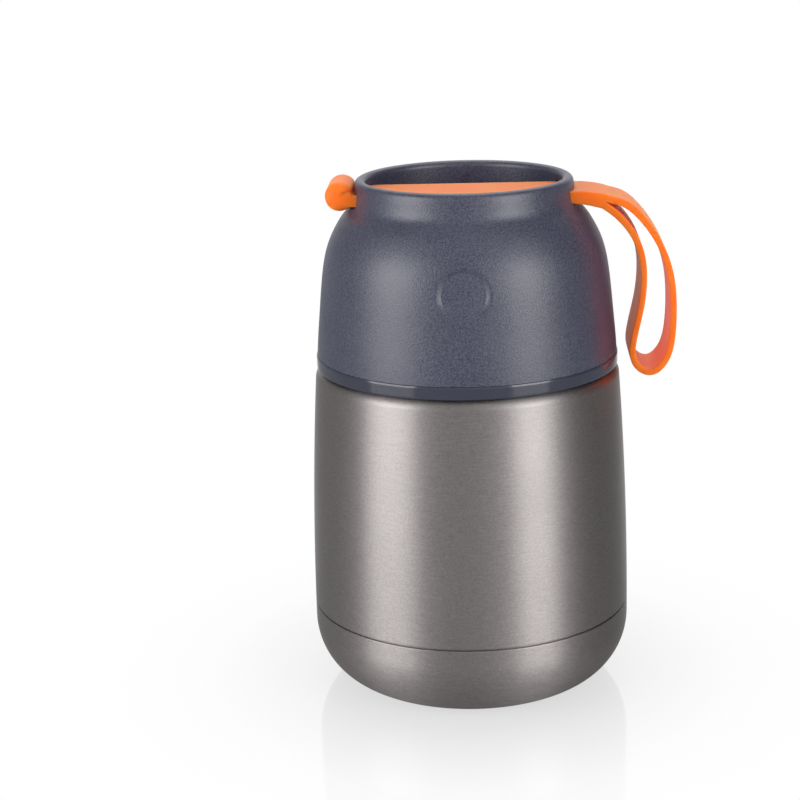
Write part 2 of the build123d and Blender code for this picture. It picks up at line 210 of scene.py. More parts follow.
def rounded(corners: Sequence[Corner], steps: int = 4) -> list[Point]:
    """Draw straight runs with a rounded corner wherever a corner has a radius.

    A run beside a rounded corner gets one more point close to it, so that the
    shading of the flat face stays flat. An open line's two ends have no radius.

    Args:
        corners: radius, height and corner radius of each corner, in order.
        steps: how many runs stand for each rounded corner.

    Returns:
        Points of the drawn line.
    """
    line = []
    for i, (radius, height, bend) in enumerate(corners):
        here = np.array((radius, height))
        if bend <= 0:
            line.append(here)
            continue
        ways = [np.array(corners[k % len(corners)][:2]) - here for k in (i - 1, i + 1)]
        back, ahead = (unit(way) for way in ways)
        half = math.acos(float(np.clip(back @ ahead, -1, 1))) / 2
        reach = bend / math.tan(half)
        centre = here + unit(back + ahead) * bend / math.sin(half)
        begin, end = (math.atan2(*(here + way * reach - centre)[::-1]) for way in (back, ahead))
        turn = (end - begin + math.pi) % (2 * math.pi) - math.pi
        spare = [max(float(np.linalg.norm(way)) - reach, 0.0) for way in ways]
        lead, trail = (reach + min(FLAT_RUN, 0.25 * run) for run in spare)
        line.append(here + back * lead)
        line += [centre + polar(bend, begin + turn * k / steps) for k in range(steps + 1)]
        line.append(here + ahead * trail)
    return [(float(a), float(b)) for a, b in line]


# ------------------------------------------------------------------------ making meshes


@dataclass(frozen=True)
class Window:
    """A patch of a turned face that is left open for a cut or a dimple."""

    rows: range
    columns: range

    def edge(self, grid: Sequence[Sequence[int]]) -> list[int]:
        """List the points round the window.

        Args:
            grid: the rows of points of the turned face.

        Returns:
            The points in order, once round.
        """
        around = [(self.rows.start, c) for c in self.columns]
        around += [(r, self.columns.stop) for r in self.rows]
        around += [(self.rows.stop, c + 1) for c in reversed(self.columns)]
        around += [(r + 1, self.columns.start) for r in reversed(self.rows)]
        return [grid[r][c % len(grid[r])] for r, c in around]


@dataclass
class Shape:
    """The points and faces of one piece, gathered in millimetres."""

    points: list[tuple[float, float, float, float]] = field(default_factory=list)
    faces: list[tuple[int, ...]] = field(default_factory=list)

    def point(self, x: float, y: float, z: float, length: float = 0.0) -> int:
        """Add a point, this far along its section, and give its number."""
        self.points.append((x, y, z, length))
        return len(self.points) - 1

    def ring(self, radii: Sequence[float], height: float, length: float) -> list[int]:
        """Add a row of points round the axis, each at its own radius."""
        angles = [2 * math.pi * j / len(radii) for j in range(len(radii))]
        return [self.point(*polar(r, a), height, length) for r, a in zip(radii, angles)]

    def face(self, *corners: int) -> None:
        """Add a face, without the corners that repeat."""
        kept = [c for i, c in enumerate(corners) if c != corners[i - 1]]
        self.faces += [tuple(kept)] if len(kept) > 2 else []

    def band(self, low: Sequence[int], high: Sequence[int], closed: bool = True) -> None:
        """Join two rows of points with faces.

        Args:
            low: the first row.
            high: the second row, with as many points.
            closed: whether the rows go all the way round.
        """
        for i in range(len(low) if closed else len(low) - 1):
            j = (i + 1) % len(low)
            self.face(low[i], low[j], high[j], high[i])

    def loft(self, rows: Sequence[Sequence[int]], capped: bool = False) -> None:
        """Join each row of points with the next one.

        Args:
            rows: the rows, all with as many points, all the way round.
            capped: whether a face closes each end.
        """
        for low, high in zip(rows, rows[1:]):
            self.band(low, high)
        if capped:
            self.faces += [tuple(rows[0]), tuple(rows[-1])]

    def lathe(
        self,
        section: Sequence[Point],
        segments: int,
        closed: bool = True,
        windows: Sequence[Window] = (),
    ) -> list[list[int]]:
        """Turn a section round the jar's axis.

        Args:
            section: radius and height of each point.
            segments: how many faces go round.
            closed: whether the section's last point joins its first.
            windows: patches that stay open.

        Returns:
            The rows of points, one for each point of the section.
        """
        grid: list[list[int]] = []
        length, before = 0.0, section[0]
        for radius, height in section:
            length += math.dist((radius, height), before)
            before = (radius, height)
            if radius < AXIS_RADIUS:
                grid.append([self.point(0.0, 0.0, height, length)] * segments)
            else:
                grid.append(self.ring([radius] * segments, height, length))
        for i in range(len(grid) if closed else len(grid) - 1):
            low, high = grid[i], grid[(i + 1) % len(grid)]
            open_columns = [w.columns for w in windows if i in w.rows]
            for j in range(segments):
                if not any(j in c or j - segments in c for c in open_columns):
                    k = (j + 1) % segments
                    self.face(low[j], low[k], high[k], high[j])
        return grid

    def build(self, name: str, sharp_angle: float = 34.0) -> Object:
        """Make the mesh and its object.

        Args:
            name: the piece's name.
            sharp_angle: edges that turn more than this many degrees stay crisp.

        Returns:
            The new object, at the frame's origin.
        """
        mesh = bpy.data.meshes.new(name)
        mesh.from_pydata([(x * MM, y * MM, z * MM) for x, y, z, _ in self.points], [], self.faces)
        work = bmesh.new()
        work.from_mesh(mesh)
        bmesh.ops.recalc_face_normals(work, faces=work.faces)
        layer = work.loops.layers.uv.new("around_and_along")
        for face in work.faces:
            turns = [math.atan2(c.vert.co.y, c.vert.co.x) / (2 * math.pi) % 1.0 for c in face.loops]
            wraps = max(turns) - min(turns) > 0.5
            for corner, turn in zip(face.loops, turns):
                around = turn + 1.0 if wraps and turn < 0.5 else turn
                corner[layer].uv = (around, self.points[corner.vert.index][3] * MM)
        work.to_mesh(mesh)
        work.free()
        mesh.shade_smooth()
        mesh.set_sharp_from_angle(angle=math.radians(sharp_angle))
        piece = bpy.data.objects.new(name, mesh)
        bpy.context.scene.collection.objects.link(piece)
        return piece

    def place(self, name: str, body: Body, slot: Slot, node: str) -> Object:
        """Make the piece, let it ride on its body and stand for a CAD node.

        Args:
            name: the piece's name.
            body: the body that carries it.
            slot: the record's slot for its finish; not used.
            node: the CAD node that it stands for.

        Returns:
            The piece.
        """
        piece = self.build(name)
        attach(piece, body.value)
        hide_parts(node)
        log.info("%s rides on %s", name, body.value)
        return piece


@dataclass(frozen=True)
class Thread:
    """A helical rib on a round wall, tapered at both ends."""

    wall_radius: float
    height: float
    lead: float
    turns: float
    start_height: float
    start_angle: float
    side: Side
    width: float = 2.2
    root_depth: float = 0.25
    taper_turns: float = 0.07
    flank: tuple[Point, ...] = ((0.12, 0.5), (0.85, 0.24), (1.0, 0.12))
    steps_per_turn: int = 96

    def draw(self, shape: Shape) -> None:
        """Add the rib to a shape.

        Args:
            shape: the shape that it stands on.
        """
        steps = int(self.turns * self.steps_per_turn)
        rows = []
        for i in range(steps + 1):
            turn = self.turns * i / steps
            angle = math.radians(self.start_angle) + 2 * math.pi * turn
            middle = self.start_height + self.lead * turn
            ending = min(turn, self.turns - turn)
            rise = self.height * smooth_step(ending, 0.0, self.taper_turns)
            flank = [(-self.root_depth, self.flank[0][1])]
            flank += [(share * rise, up) for share, up in self.flank]
            profile = [(out, middle - up * self.width) for out, up in flank]
            profile += [(out, middle + up * self.width) for out, up in reversed(flank)]
            radii = [self.wall_radius + self.side.value * out for out, _ in profile]
            places = [(*polar(r, angle), z) for r, (_, z) in zip(radii, profile)]
            rows.append([shape.point(x, y, z, z) for x, y, z in places])
        shape.loft(rows, capped=True)


def turned(
    section: Sequence[Point],
    segments: int = 160,
    closed: bool = True,
    threads: Sequence[Thread] = (),
) -> Shape:
    """Turn one section into a shape of its own.

    Args:
        section: radius and height of each point.
        segments: how many faces go round.
        closed: whether the section's last point joins its first.
        threads: the ribs that stand on it.

    Returns:
        The shape.
    """
    shape = Shape()
    shape.lathe(section, segments, closed)
    for thread in threads:
        thread.draw(shape)
    return shape


@dataclass(frozen=True)
class Washer:
    """A soft ring with a rounded section."""

    radii: Point
    heights: Point
    bends: tuple[float, float, float, float] = (0.35, 0.35, 0.35, 0.35)
    segments: int = 160

    def shape(self) -> Shape:
        """Turn the ring.

        Returns:
            The shape, which has no object yet.
        """
        (inner, outer), (low, high) = self.radii, self.heights
        corners = list(zip((inner, outer, outer, inner), (low, low, high, high), self.bends))
        return turned(rounded(corners), self.segments)


# ---------------------------------------------------------------------------- finishes


class Wiring:
    """The node tree of a material or a world, wired one node at a time."""

    def __init__(self, owner: Material | World) -> None:
        """Start with no nodes."""
        owner.use_nodes = True
        self.owner, self.tree = owner, owner.node_tree
        self.tree.nodes.clear()

    def node(self, kind: str, inputs: dict | None = None, **settings: object) -> Node:
        """Add a node.

        Args:
            kind: the node's type.
            inputs: a value or another node's output for each named or numbered input.
            settings: the node's own settings.

        Returns:
            The new node.
        """
        made = self.tree.nodes.new(kind)
        for name, value in settings.items():
            setattr(made, name, value)
        for name, value in (inputs or {}).items():
            if isinstance(value, NodeSocket):
                self.tree.links.new(value, made.inputs[name])
            else:
                made.inputs[name].default_value = value
        return made

    def place(self, stretch: Corner = (1.0, 1.0, 1.0)) -> NodeSocket:
        """Where the surface lies on its piece, with this many cycles per metre each way."""
        where = self.node("ShaderNodeTexCoord").outputs["Object"]
        return self.node("ShaderNodeMapping", {"Vector": where, "Scale": stretch}).outputs["Vector"]

    def along(self, around: float, across: float) -> NodeSocket:
        """The place on a turned face, for lines that run round the axis.

        Args:
            around: cycles per metre round the axis, which sets how long a line is.
            across: cycles per metre along the section, which sets how fine lines are.

        Returns:
            The place, drawn out along the lines.
        """
        where = self.node("ShaderNodeTexCoord").outputs
        flat = self.node("ShaderNodeSeparateXYZ", {0: where["Object"]}).outputs
        face = self.node("ShaderNodeSeparateXYZ", {0: where["UV"]}).outputs
        stretched = {axis: self.math("MULTIPLY", flat[axis], around) for axis in "XY"}
        stretched["Z"] = self.math("MULTIPLY", face["Y"], across)
        return self.node("ShaderNodeCombineXYZ", stretched).outputs["Vector"]

    def noise(
        self, place: NodeSocket, scale: float = 1.0, detail: float = 2.0, roughness: float = 0.5
    ) -> NodeSocket:
        """A cloudy value from 0 to 1, mostly near the middle, with finer layers in it."""
        inputs = {"Vector": place, "Scale": scale, "Detail": detail, "Roughness": roughness}
        return self.node("ShaderNodeTexNoise", inputs).outputs["Fac"]

    def math(
        self, operation: str, first: object, second: object = 0.0, clamp: bool = False
    ) -> NodeSocket:
        """Work out one step of arithmetic."""
        inputs, settings = {0: first, 1: second}, {"operation": operation, "use_clamp": clamp}
        return self.node("ShaderNodeMath", inputs, **settings).outputs["Value"]

    def spread(
        self, value: NodeSocket, low: float, high: float, source: Point = (0.3, 0.7)
    ) -> NodeSocket:
        """Map the source's part of a value's range to the range from low to high."""
        ends = {"From Min": source[0], "From Max": source[1], "To Min": low, "To Max": high}
        return self.node("ShaderNodeMapRange", {"Value": value, **ends}).outputs["Result"]

    def tint(self, factor: object, first: Colour, second: Colour) -> NodeSocket:
        """Mix two colours."""
        inputs = {0: factor, 6: (*first, 1.0), 7: (*second, 1.0)}
        return self.node("ShaderNodeMix", inputs, data_type="RGBA").outputs[2]

    def mix(self, factor: object, first: object, second: object) -> NodeSocket:
        """Mix two numbers."""
        return self.node("ShaderNodeMix", {0: factor, 2: first, 3: second}).outputs[0]

    def bump(
        self, height: NodeSocket, depth: float, strength: float, **under: NodeSocket
    ) -> NodeSocket:
        """Shade the surface as if it rose by a depth in millimetres, over another bump if given."""
        inputs = {"Height": height, "Distance": depth * MM, "Strength": strength, **under}
        return self.node("ShaderNodeBump", inputs).outputs["Normal"]


class Finish(ABC):
    """What a surface is made of. Each finish makes its material once."""

    name: str

    @abstractmethod
    def inputs(self, m: Wiring) -> dict[str, object]:
        """Wire the finish's pattern.

        Args:
            m: the material's wiring.

        Returns:
            What goes into each input of the shader.
        """

    def make(self) -> Material:
        """Build the finish's material.

        Returns:
            The material, with its shader wired to the output.
        """
        m = Wiring(bpy.data.materials.new(self.name))
        shader = m.node("ShaderNodeBsdfPrincipled", self.inputs(m))
        m.node("ShaderNodeOutputMaterial", {"Surface": shader.outputs["BSDF"]})
        return m.owner

    def dress(self, *pieces: Object) -> None:
        """Put the finish on new pieces or on CAD nodes.

        Args:
            pieces: what gets the finish.
        """
        material = bpy.data.materials.get(self.name) or self.make()
        for piece in pieces:
            if "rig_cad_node" in piece:
                for slot in piece.material_slots:
                    slot.link = "OBJECT"
                    slot.material = material
                log.info("%s keeps its CAD shape and is finished as %s", piece.name, self.name)
            else:
                piece.data.materials.clear()
                piece.data.materials.append(material)


@dataclass(frozen=True)
class BrushedSteel(Finish):
    """Stainless steel with hairlines that run round the axis."""

    name: str = "hairline_steel"
    colour: Colour = (0.352, 0.328, 0.323)
    dull_colour: Colour = (0.248, 0.231, 0.228)
    roughness: Point = (0.44, 0.53)
    anisotropy: float = 0.76
    quarter_turn: float = 0.25
    hairlines: Point = (260.0, 6500.0)
    hairline_share: float = 0.45
    speckles_per_metre: float = 1700.0
    fine_layers: float = 0.6
    clouds: Corner = (28.0, 28.0, 45.0)
    cloud_roughness: float = 0.02
    relief: Point = (0.013, 0.5)

    def inputs(self, m: Wiring) -> dict[str, object]:
        """Wire the hairlines, the speckle between them and the clouded roughness.

        Args:
            m: the material's wiring.

        Returns:
            What goes into each input of the shader.
        """
        fine = m.noise(m.along(*self.hairlines), roughness=self.fine_layers)
        speckle = m.noise(m.place(), self.speckles_per_metre, roughness=self.fine_layers)
        shares = (self.hairline_share, 1.0 - self.hairline_share)
        parts = [m.math("MULTIPLY", value, share) for value, share in zip((fine, speckle), shares)]
        lines = m.math("ADD", *parts)
        rougher = self.cloud_roughness
        uneven = m.spread(m.noise(m.place(self.clouds)), -rougher, rougher)
        tangent = m.node("ShaderNodeTangent", direction_type="RADIAL", axis="Z")
        strong = m.spread(lines, 0.0, 1.0, STRONG_GRAIN)
        return {
            "Base Color": m.tint(strong, self.dull_colour, self.colour),
            "Metallic": 1.0,
            "Roughness": m.math("ADD", m.spread(lines, *self.roughness), uneven),
            "Anisotropic": self.anisotropy,
            "Anisotropic Rotation": self.quarter_turn,
            "Tangent": tangent.outputs["Tangent"],
            "Normal": m.bump(lines, *self.relief),
        }


@dataclass(frozen=True)
class GrainedPlastic(Finish):
    """Moulded plastic with a fine spark-eroded grain."""

    name: str = "grained_plastic"
    colour: Colour = (0.015, 0.018, 0.040)
    pale_colour: Colour = (0.067, 0.070, 0.108)
    roughness: Point = (0.33, 0.43)
    gloss: float = 0.66
    grain: Corner = (2100.0, 2.5, 0.6)
    grain_share: float = 0.85
    clouds: Point = (60.0, 3.0)
    swells: Point = (420.0, 1.0)
    swell_relief: Point = (0.02, 0.2)
    relief: Point = (0.14, 0.6)

    def inputs(self, m: Wiring) -> dict[str, object]:
        """Wire the grain over a slow swell and a cloudy colour.

        Args:
            m: the material's wiring.

        Returns:
            What goes into each input of the shader.
        """
        where = m.place()
        grain = m.noise(where, *self.grain)
        cloudy = m.spread(m.noise(where, *self.clouds), 0.0, 1.0 - self.grain_share)
        grainy = m.spread(grain, 0.0, self.grain_share, STRONG_GRAIN)
        swell = m.bump(m.noise(where, *self.swells), *self.swell_relief)
        return {
            "Base Color": m.tint(m.math("ADD", grainy, cloudy), self.colour, self.pale_colour),
            "Roughness": m.spread(grain, *self.roughness),
            "Specular IOR Level": self.gloss,
            "Normal": m.bump(grain, *self.relief, Normal=swell),
        }


@dataclass(frozen=True)
class PlainFinish(Finish):
    """A quiet surface: a cloudy colour and one fine pattern in its gloss and its height."""

    name: str
    colour: Colour
    pale_colour: Colour
    roughness: Point
    clouds: Point = (80.0, 2.0)
    pattern: Point = (900.0, 3.0)
    relief: Point = (0.01, 0.4)
    metallic: float = 0.0

    def inputs(self, m: Wiring) -> dict[str, object]:
        """Wire the clouds and the pattern.

        Args:
            m: the material's wiring.

        Returns:
            What goes into each input of the shader.
        """
        where = m.place()
        cloud, pattern = m.noise(where, *self.clouds), m.noise(where, *self.pattern)
        return {
            "Base Color": m.tint(m.spread(cloud, 0.0, 1.0), self.colour, self.pale_colour),
            "Metallic": self.metallic,
            "Roughness": m.spread(pattern, *self.roughness),
            "Normal": m.bump(pattern, *self.relief),
        }


@dataclass(frozen=True)
class Silicone(PlainFinish):
    """Soft moulded silicone with a satin skin that lets light in."""

    name: str = "strap_silicone"
    colour: Colour = (1.0, 0.176, 0.010)
    pale_colour: Colour = (1.0, 0.205, 0.018)
    roughness: Point = (0.40, 0.52)
    clouds: Point = (110.0, 3.0)
    pattern: Point = (3200.0, 2.0)
    relief: Point = (0.02, 0.35)
    gloss: float = 0.20
    sheen: Point = (0.05, 0.45)
    light_share: float = 0.8
    light_spread: Colour = (1.0, 0.30, 0.12)
    depth_of_light: float = 6.0

    def inputs(self, m: Wiring) -> dict[str, object]:
        """Wire the skin and what is under it.

        Args:
            m: the material's wiring.

        Returns:
            What goes into each input of the shader.
        """
        return super().inputs(m) | {
            "Specular IOR Level": self.gloss,
            "Sheen Weight": self.sheen[0],
            "Sheen Roughness": self.sheen[1],
            "Subsurface Weight": self.light_share,
            "Subsurface Radius": self.light_spread,
            "Subsurface Scale": self.depth_of_light * MM,
        }


@dataclass(frozen=True)
class Foam(Finish):
    """Closed-cell foam with small beads."""

    name: str = "bead_foam"
    colour: Colour = (0.86, 0.86, 0.82)
    shade_colour: Colour = (0.62, 0.62, 0.58)
    roughness: Point = (0.7, 0.9)
    beads_per_metre: float = 420.0
    relief: Point = (0.5, 0.6)

    def inputs(self, m: Wiring) -> dict[str, object]:
        """Wire the beads.

        Args:
            m: the material's wiring.

        Returns:
            Wire the beads, with shade painted into the creases between them.
        """
        beads = {"Vector": m.place(), "Scale": self.beads_per_metre}
        cells = m.node("ShaderNodeTexVoronoi", beads).outputs["Distance"]
        # painted shade: the colour darkens towards shade_colour at the cell borders, the creases
        # between the beads
        shade = m.spread(cells, 0.0, 1.0, (0.2, 0.8))
        return {
            "Base Color": m.tint(shade, self.colour, self.shade_colour),
            "Roughness": m.spread(cells, *self.roughness, (0.0, 0.8)),
            "Normal": m.bump(m.math("SUBTRACT", 1.0, cells), *self.relief),
        }


VESSEL_STEEL = BrushedSteel("vessel_steel", (0.56, 0.55, 0.54), (0.48, 0.47, 0.46), (0.24, 0.34))
PRESSED_METAL = PlainFinish(
    "pressed_metal", (0.30, 0.30, 0.32), (0.42, 0.42, 0.44), (0.5, 0.7), metallic=1.0
)
SPRING_WIRE = PlainFinish(
    "spring_wire", (0.6, 0.6, 0.6), (0.72, 0.72, 0.72), (0.14, 0.24), metallic=1.0
)
SOLDER_GLASS = PlainFinish(
    "solder_glass", (0.10, 0.075, 0.055), (0.20, 0.15, 0.11), (0.06, 0.2),
    clouds=(700.0, 3.0), pattern=(700.0, 3.0), relief=(0.08, 0.4),
)
GLOSS_PLASTIC = PlainFinish(
    "gloss_plastic", (0.029, 0.032, 0.051), (0.035, 0.038, 0.059), (0.09, 0.15),
    clouds=(45.0, 3.0), pattern=(130.0, 2.0), relief=(0.03, 0.25),
)
STOPPER_PLASTIC = GrainedPlastic(
    "fine_grained_plastic", roughness=(0.34, 0.44), grain=(3400.0, 2.5, 0.6), relief=(0.02, 0.6)
)
WHITE_SILICONE = Silicone(
    "gasket_silicone", (0.62, 0.62, 0.60), (0.70, 0.70, 0.68), (0.38, 0.5),
    sheen=(0.1, 0.45), depth_of_light=1.0,
)


# --------------------------------------------------------------------------- steel body


@dataclass
class SteelBody:
    """The double-walled body: outer shell, base cup, base disc and inner vessel."""

    base_flat_radius: float = 31.8
    base_corner_height: float = 20.5
    belly_radius: float = 50.6
    waist: Point = (50.0, 60.0)
    shoulder_radius: float = 47.9
    shoulder_round: float = 3.0
    shoulder_height: float = 103.1
    ledge_shares: Corner = (0.08, 0.5, 0.92)
    neck_radius: float = 37.1
    neck_root_fillet: float = 1.5
    neck_root_height: float = 2.0
    neck_top: float = 116.4
    lip_height: float = 0.6
    lip_round: float = 0.3
    wall: float = 0.7
    seam_height: float = 25.9
    seam_width: float = 0.5
    hem_round: float = 0.22
    hem_run: float = 0.5
    lap_radius: float = 49.75
    lap_height: float = 4.0
    lap_slope: Point = (3.0, 4.0)
    vessel_inset: float = 3.7
    vessel_wall: float = 0.6
    vessel_floor: float = 8.0
    vessel_round: float = 4.0
    vessel_neck_radius: float = 35.6
    disc_radius: float = 23.7
    disc_thickness: float = 0.8
    disc_round: float = 0.3
    disc_rings: Point = (18.6, 9.4)
    disc_recess: Point = (24.0, 1.0)
    disc_recess_cuts: Point = (0.3, 0.15)
    seal_recess: Point = (8.0, 2.4)
    seal_recess_cuts: Point = (0.4, 0.1)
    seal_hole_radius: float = 1.2
    disc_cut: float = 0.12
    ring_groove: tuple[Point, ...] = (
        (0.9, 0.0), (0.5, 0.0), (0.25, 0.14), (-0.25, 0.14), (-0.5, 0.0), (-0.9, 0.0),
    )
    thread_lead: float = 9.0
    thread_rise: float = 2.9
    segments: int = 256

    def side(self, inset: float, low: float, high: float, steps: int) -> list[Point]:
        """Draw the body's side, which swells a little.

        Args:
            inset: how far inside the outer face it runs.
            low: height where it starts.
            high: height where it ends.
            steps: how many points come back.

        Returns:
            Points from low to high.
        """
        lower = self.shoulder_height - self.shoulder_round
        knots = ((self.base_corner_height, self.belly_radius), self.waist[::-1])
        bulge = np.polyfit(*zip(*knots, (lower, self.shoulder_radius)), 2)
        heights = np.linspace(low, high, steps)
        return [(float(np.polyval(bulge, z)) - inset, float(z)) for z in heights]

    def shoulder(self, inset: float, bend: float, neck: float) -> list[Point]:
        """Draw the rounded shoulder, the ledge and the fillet up to the neck.

        Args:
            inset: how far inside the outer face it runs.
            bend: radius of the shoulder's round.
            neck: radius of the neck.

        Returns:
            Points from the side to the foot of the neck.
        """
        top, fillet = self.shoulder_height - inset, self.neck_root_fillet
        outer = (self.shoulder_radius - inset - bend, top - bend)
        root = (neck + fillet, top + fillet)
        run = arc(outer, bend, 0, 90, 14)[1:]
        run += [(outer[0] - (outer[0] - root[0]) * share, top) for share in self.ledge_shares]
        return run + arc(root, fillet, 270, -90, 9)

    def corner(self, inset: float, floor: float, steps: int) -> list[Point]:
        """Draw the large round between the flat base and the side.

        Args:
            inset: how far inside the outer face it runs.
            floor: height of the flat base.
            steps: how many points come back.

        Returns:
            Points from the base to the side.
        """
        centre = (self.base_flat_radius, self.base_corner_height)
        width = self.belly_radius - inset - centre[0]
        return arc(centre, width, 270, 90, steps, rise=centre[1] - floor)

    def outer_shell(self) -> Object:
        """Make the outer shell with its hemmed foot and its threaded neck.

        Returns:
            The piece.
        """
        foot = self.seam_height + self.seam_width / 2
        lower = self.shoulder_height - self.shoulder_round
        outside = self.side(0.0, foot, lower, 44)
        edge, hem = outside[0][0], self.hem_round
        neck, hollow = self.neck_radius, self.neck_radius - self.wall
        section = [(edge - self.wall, foot), (edge - hem, foot)]
        section += arc((edge - hem, foot + hem), hem, 270, 90, 4)[1:]
        section += [(edge, foot + self.hem_run)] + outside[1:]
        section += self.shoulder(0.0, self.shoulder_round, neck)
        root = self.shoulder_height + self.neck_root_height
        section += [(neck, z) for z in np.linspace(root, self.neck_top, 6)]
        section.append((hollow, self.neck_top))
        section += self.shoulder(self.wall, self.shoulder_round - self.wall, hollow)[::-1]
        section += self.side(self.wall, foot + self.hem_run, lower, 12)[::-1]
        rib = Thread(
            neck, height=0.9, lead=self.thread_lead, turns=1.15, side=Side.OUTSIDE, width=1.9,
            start_height=self.shoulder_height + self.thread_rise, start_angle=-70.0,
        )
        shape = turned(section, self.segments, threads=(rib,))
        return shape.place("outer_shell_skin", Body.JAR, Slot.BRUSHED_STEEL, "outer_shell")

    def base_cup(self) -> Object:
        """Make the base cup with its hemmed edge, its lap and its stepped floor.

        Returns:
            The piece.
        """
        edge = self.seam_height - self.seam_width / 2
        top = self.seam_height + self.lap_height
        rim = self.side(0.0, edge, edge, 1)[0][0]
        (disc, step), (seal, ceiling) = self.disc_recess, self.seal_recess
        (inner_cut, foot_cut), (top_cut, mouth_cut) = self.disc_recess_cuts, self.seal_recess_cuts
        hole, hem, wall, lap = self.seal_hole_radius, self.hem_round, self.wall, self.lap_radius
        section = [(hole, ceiling), (seal - top_cut, ceiling), (seal, ceiling - top_cut)]
        section += [(seal, step + mouth_cut), (seal + mouth_cut, step)]
        section += [(disc - inner_cut, step), (disc, step - inner_cut), (disc, foot_cut)]
        section += [(disc + foot_cut, 0.0), (disc + 2 * FLAT_RUN, 0.0)]
        section.append((self.base_flat_radius - 1.0, 0.0))
        section += self.corner(0.0, 0.0, 46)
        section += self.side(0.0, self.base_corner_height, edge - self.hem_run, 6)[1:]
        section += arc((rim - hem, edge - hem), hem, 0, 90, 4)
        section += [(lap, edge), (lap, edge + FLAT_RUN), (lap, top), (lap - wall, top)]
        section += [(lap - wall, edge - self.lap_slope[0]), (rim - wall, edge - self.lap_slope[1])]
        section += self.corner(wall, wall, 16)[::-1]
        section += [(disc + wall + 0.5, wall), (disc + wall, step + wall)]
        section += [(seal + wall, step + wall), (seal + wall, ceiling + wall)]
        section.append((hole, ceiling + wall))
        shape = turned(section, self.segments)
        return shape.place("base_cup_skin", Body.JAR, Slot.BRUSHED_STEEL, "base_cup")

    def base_disc(self) -> Object:
        """Make the cover disc with two rings pressed into its face.

        Returns:
            The piece.
        """
        radius, top, bend = self.disc_radius, self.disc_thickness, self.disc_round
        cut, groove = self.disc_cut, self.ring_groove
        section = [(0.0, top), (radius - 0.5, top)]
        section += arc((radius - bend, top - bend), bend, 90, -90, 4)
        section += [(radius, cut), (radius - cut, 0.0), (radius - 0.5, 0.0)]
        section += [(middle + out, up) for middle in self.disc_rings for out, up in groove]
        section += [(0.5, 0.0), (0.0, 0.0)]
        shape = turned(section, 128, closed=False)
        return shape.place("base_disc_skin", Body.JAR, Slot.BRUSHED_STEEL, "base_disc")

    def inner_vessel(self) -> Object:
        """Make the food vessel with the rolled lip that joins it to the shell.

        Returns:
            The piece.
        """
        inset, thick, neck = self.vessel_inset, self.vessel_wall, self.vessel_neck_radius
        lip, bend, within = self.neck_top + self.lip_height, self.lip_round, inset + thick
        mouth, floor = neck - thick, self.vessel_floor + thick
        lower = self.shoulder_height - inset - self.vessel_round
        section = [(0.0, floor), (self.base_flat_radius - 2.0, floor)]
        section += self.corner(within, floor, 22)
        section += self.side(within, self.base_corner_height, lower, 20)[1:]
        section += self.shoulder(within, self.vessel_round - thick, mouth)
        section += [(mouth, self.shoulder_height + 1.0), (mouth, lip - 2 * bend)]
        section += arc((mouth + bend, lip - bend), bend, 180, -90, 5)
        section += arc((self.neck_radius - bend, lip - bend), bend, 90, -90, 5)
        section += [(self.neck_radius, self.neck_top), (neck, self.neck_top)]
        section += self.shoulder(inset, self.vessel_round, neck)[::-1]
        section += self.side(inset, self.base_corner_height, lower, 8)[::-1]
        section += self.corner(inset, self.vessel_floor, 12)[-2::-1]
        section.append((0.0, self.vessel_floor))
        shape = turned(section, self.segments, closed=False)
        return shape.place("inner_vessel_skin", Body.JAR, Slot.INNER_STEEL, "inner_vessel")

    def build(self, nodes: dict[str, Object]) -> None:
        """Make and dress the body's pieces.

        Args:
            nodes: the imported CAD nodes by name.
        """
        BrushedSteel().dress(self.outer_shell(), self.base_cup(), self.base_disc())
        VESSEL_STEEL.dress(self.inner_vessel())
        PRESSED_METAL.dress(nodes["getter"])
        SOLDER_GLASS.dress(nodes["vacuum_seal"])


# ------------------------------------------------------------------------------ stopper


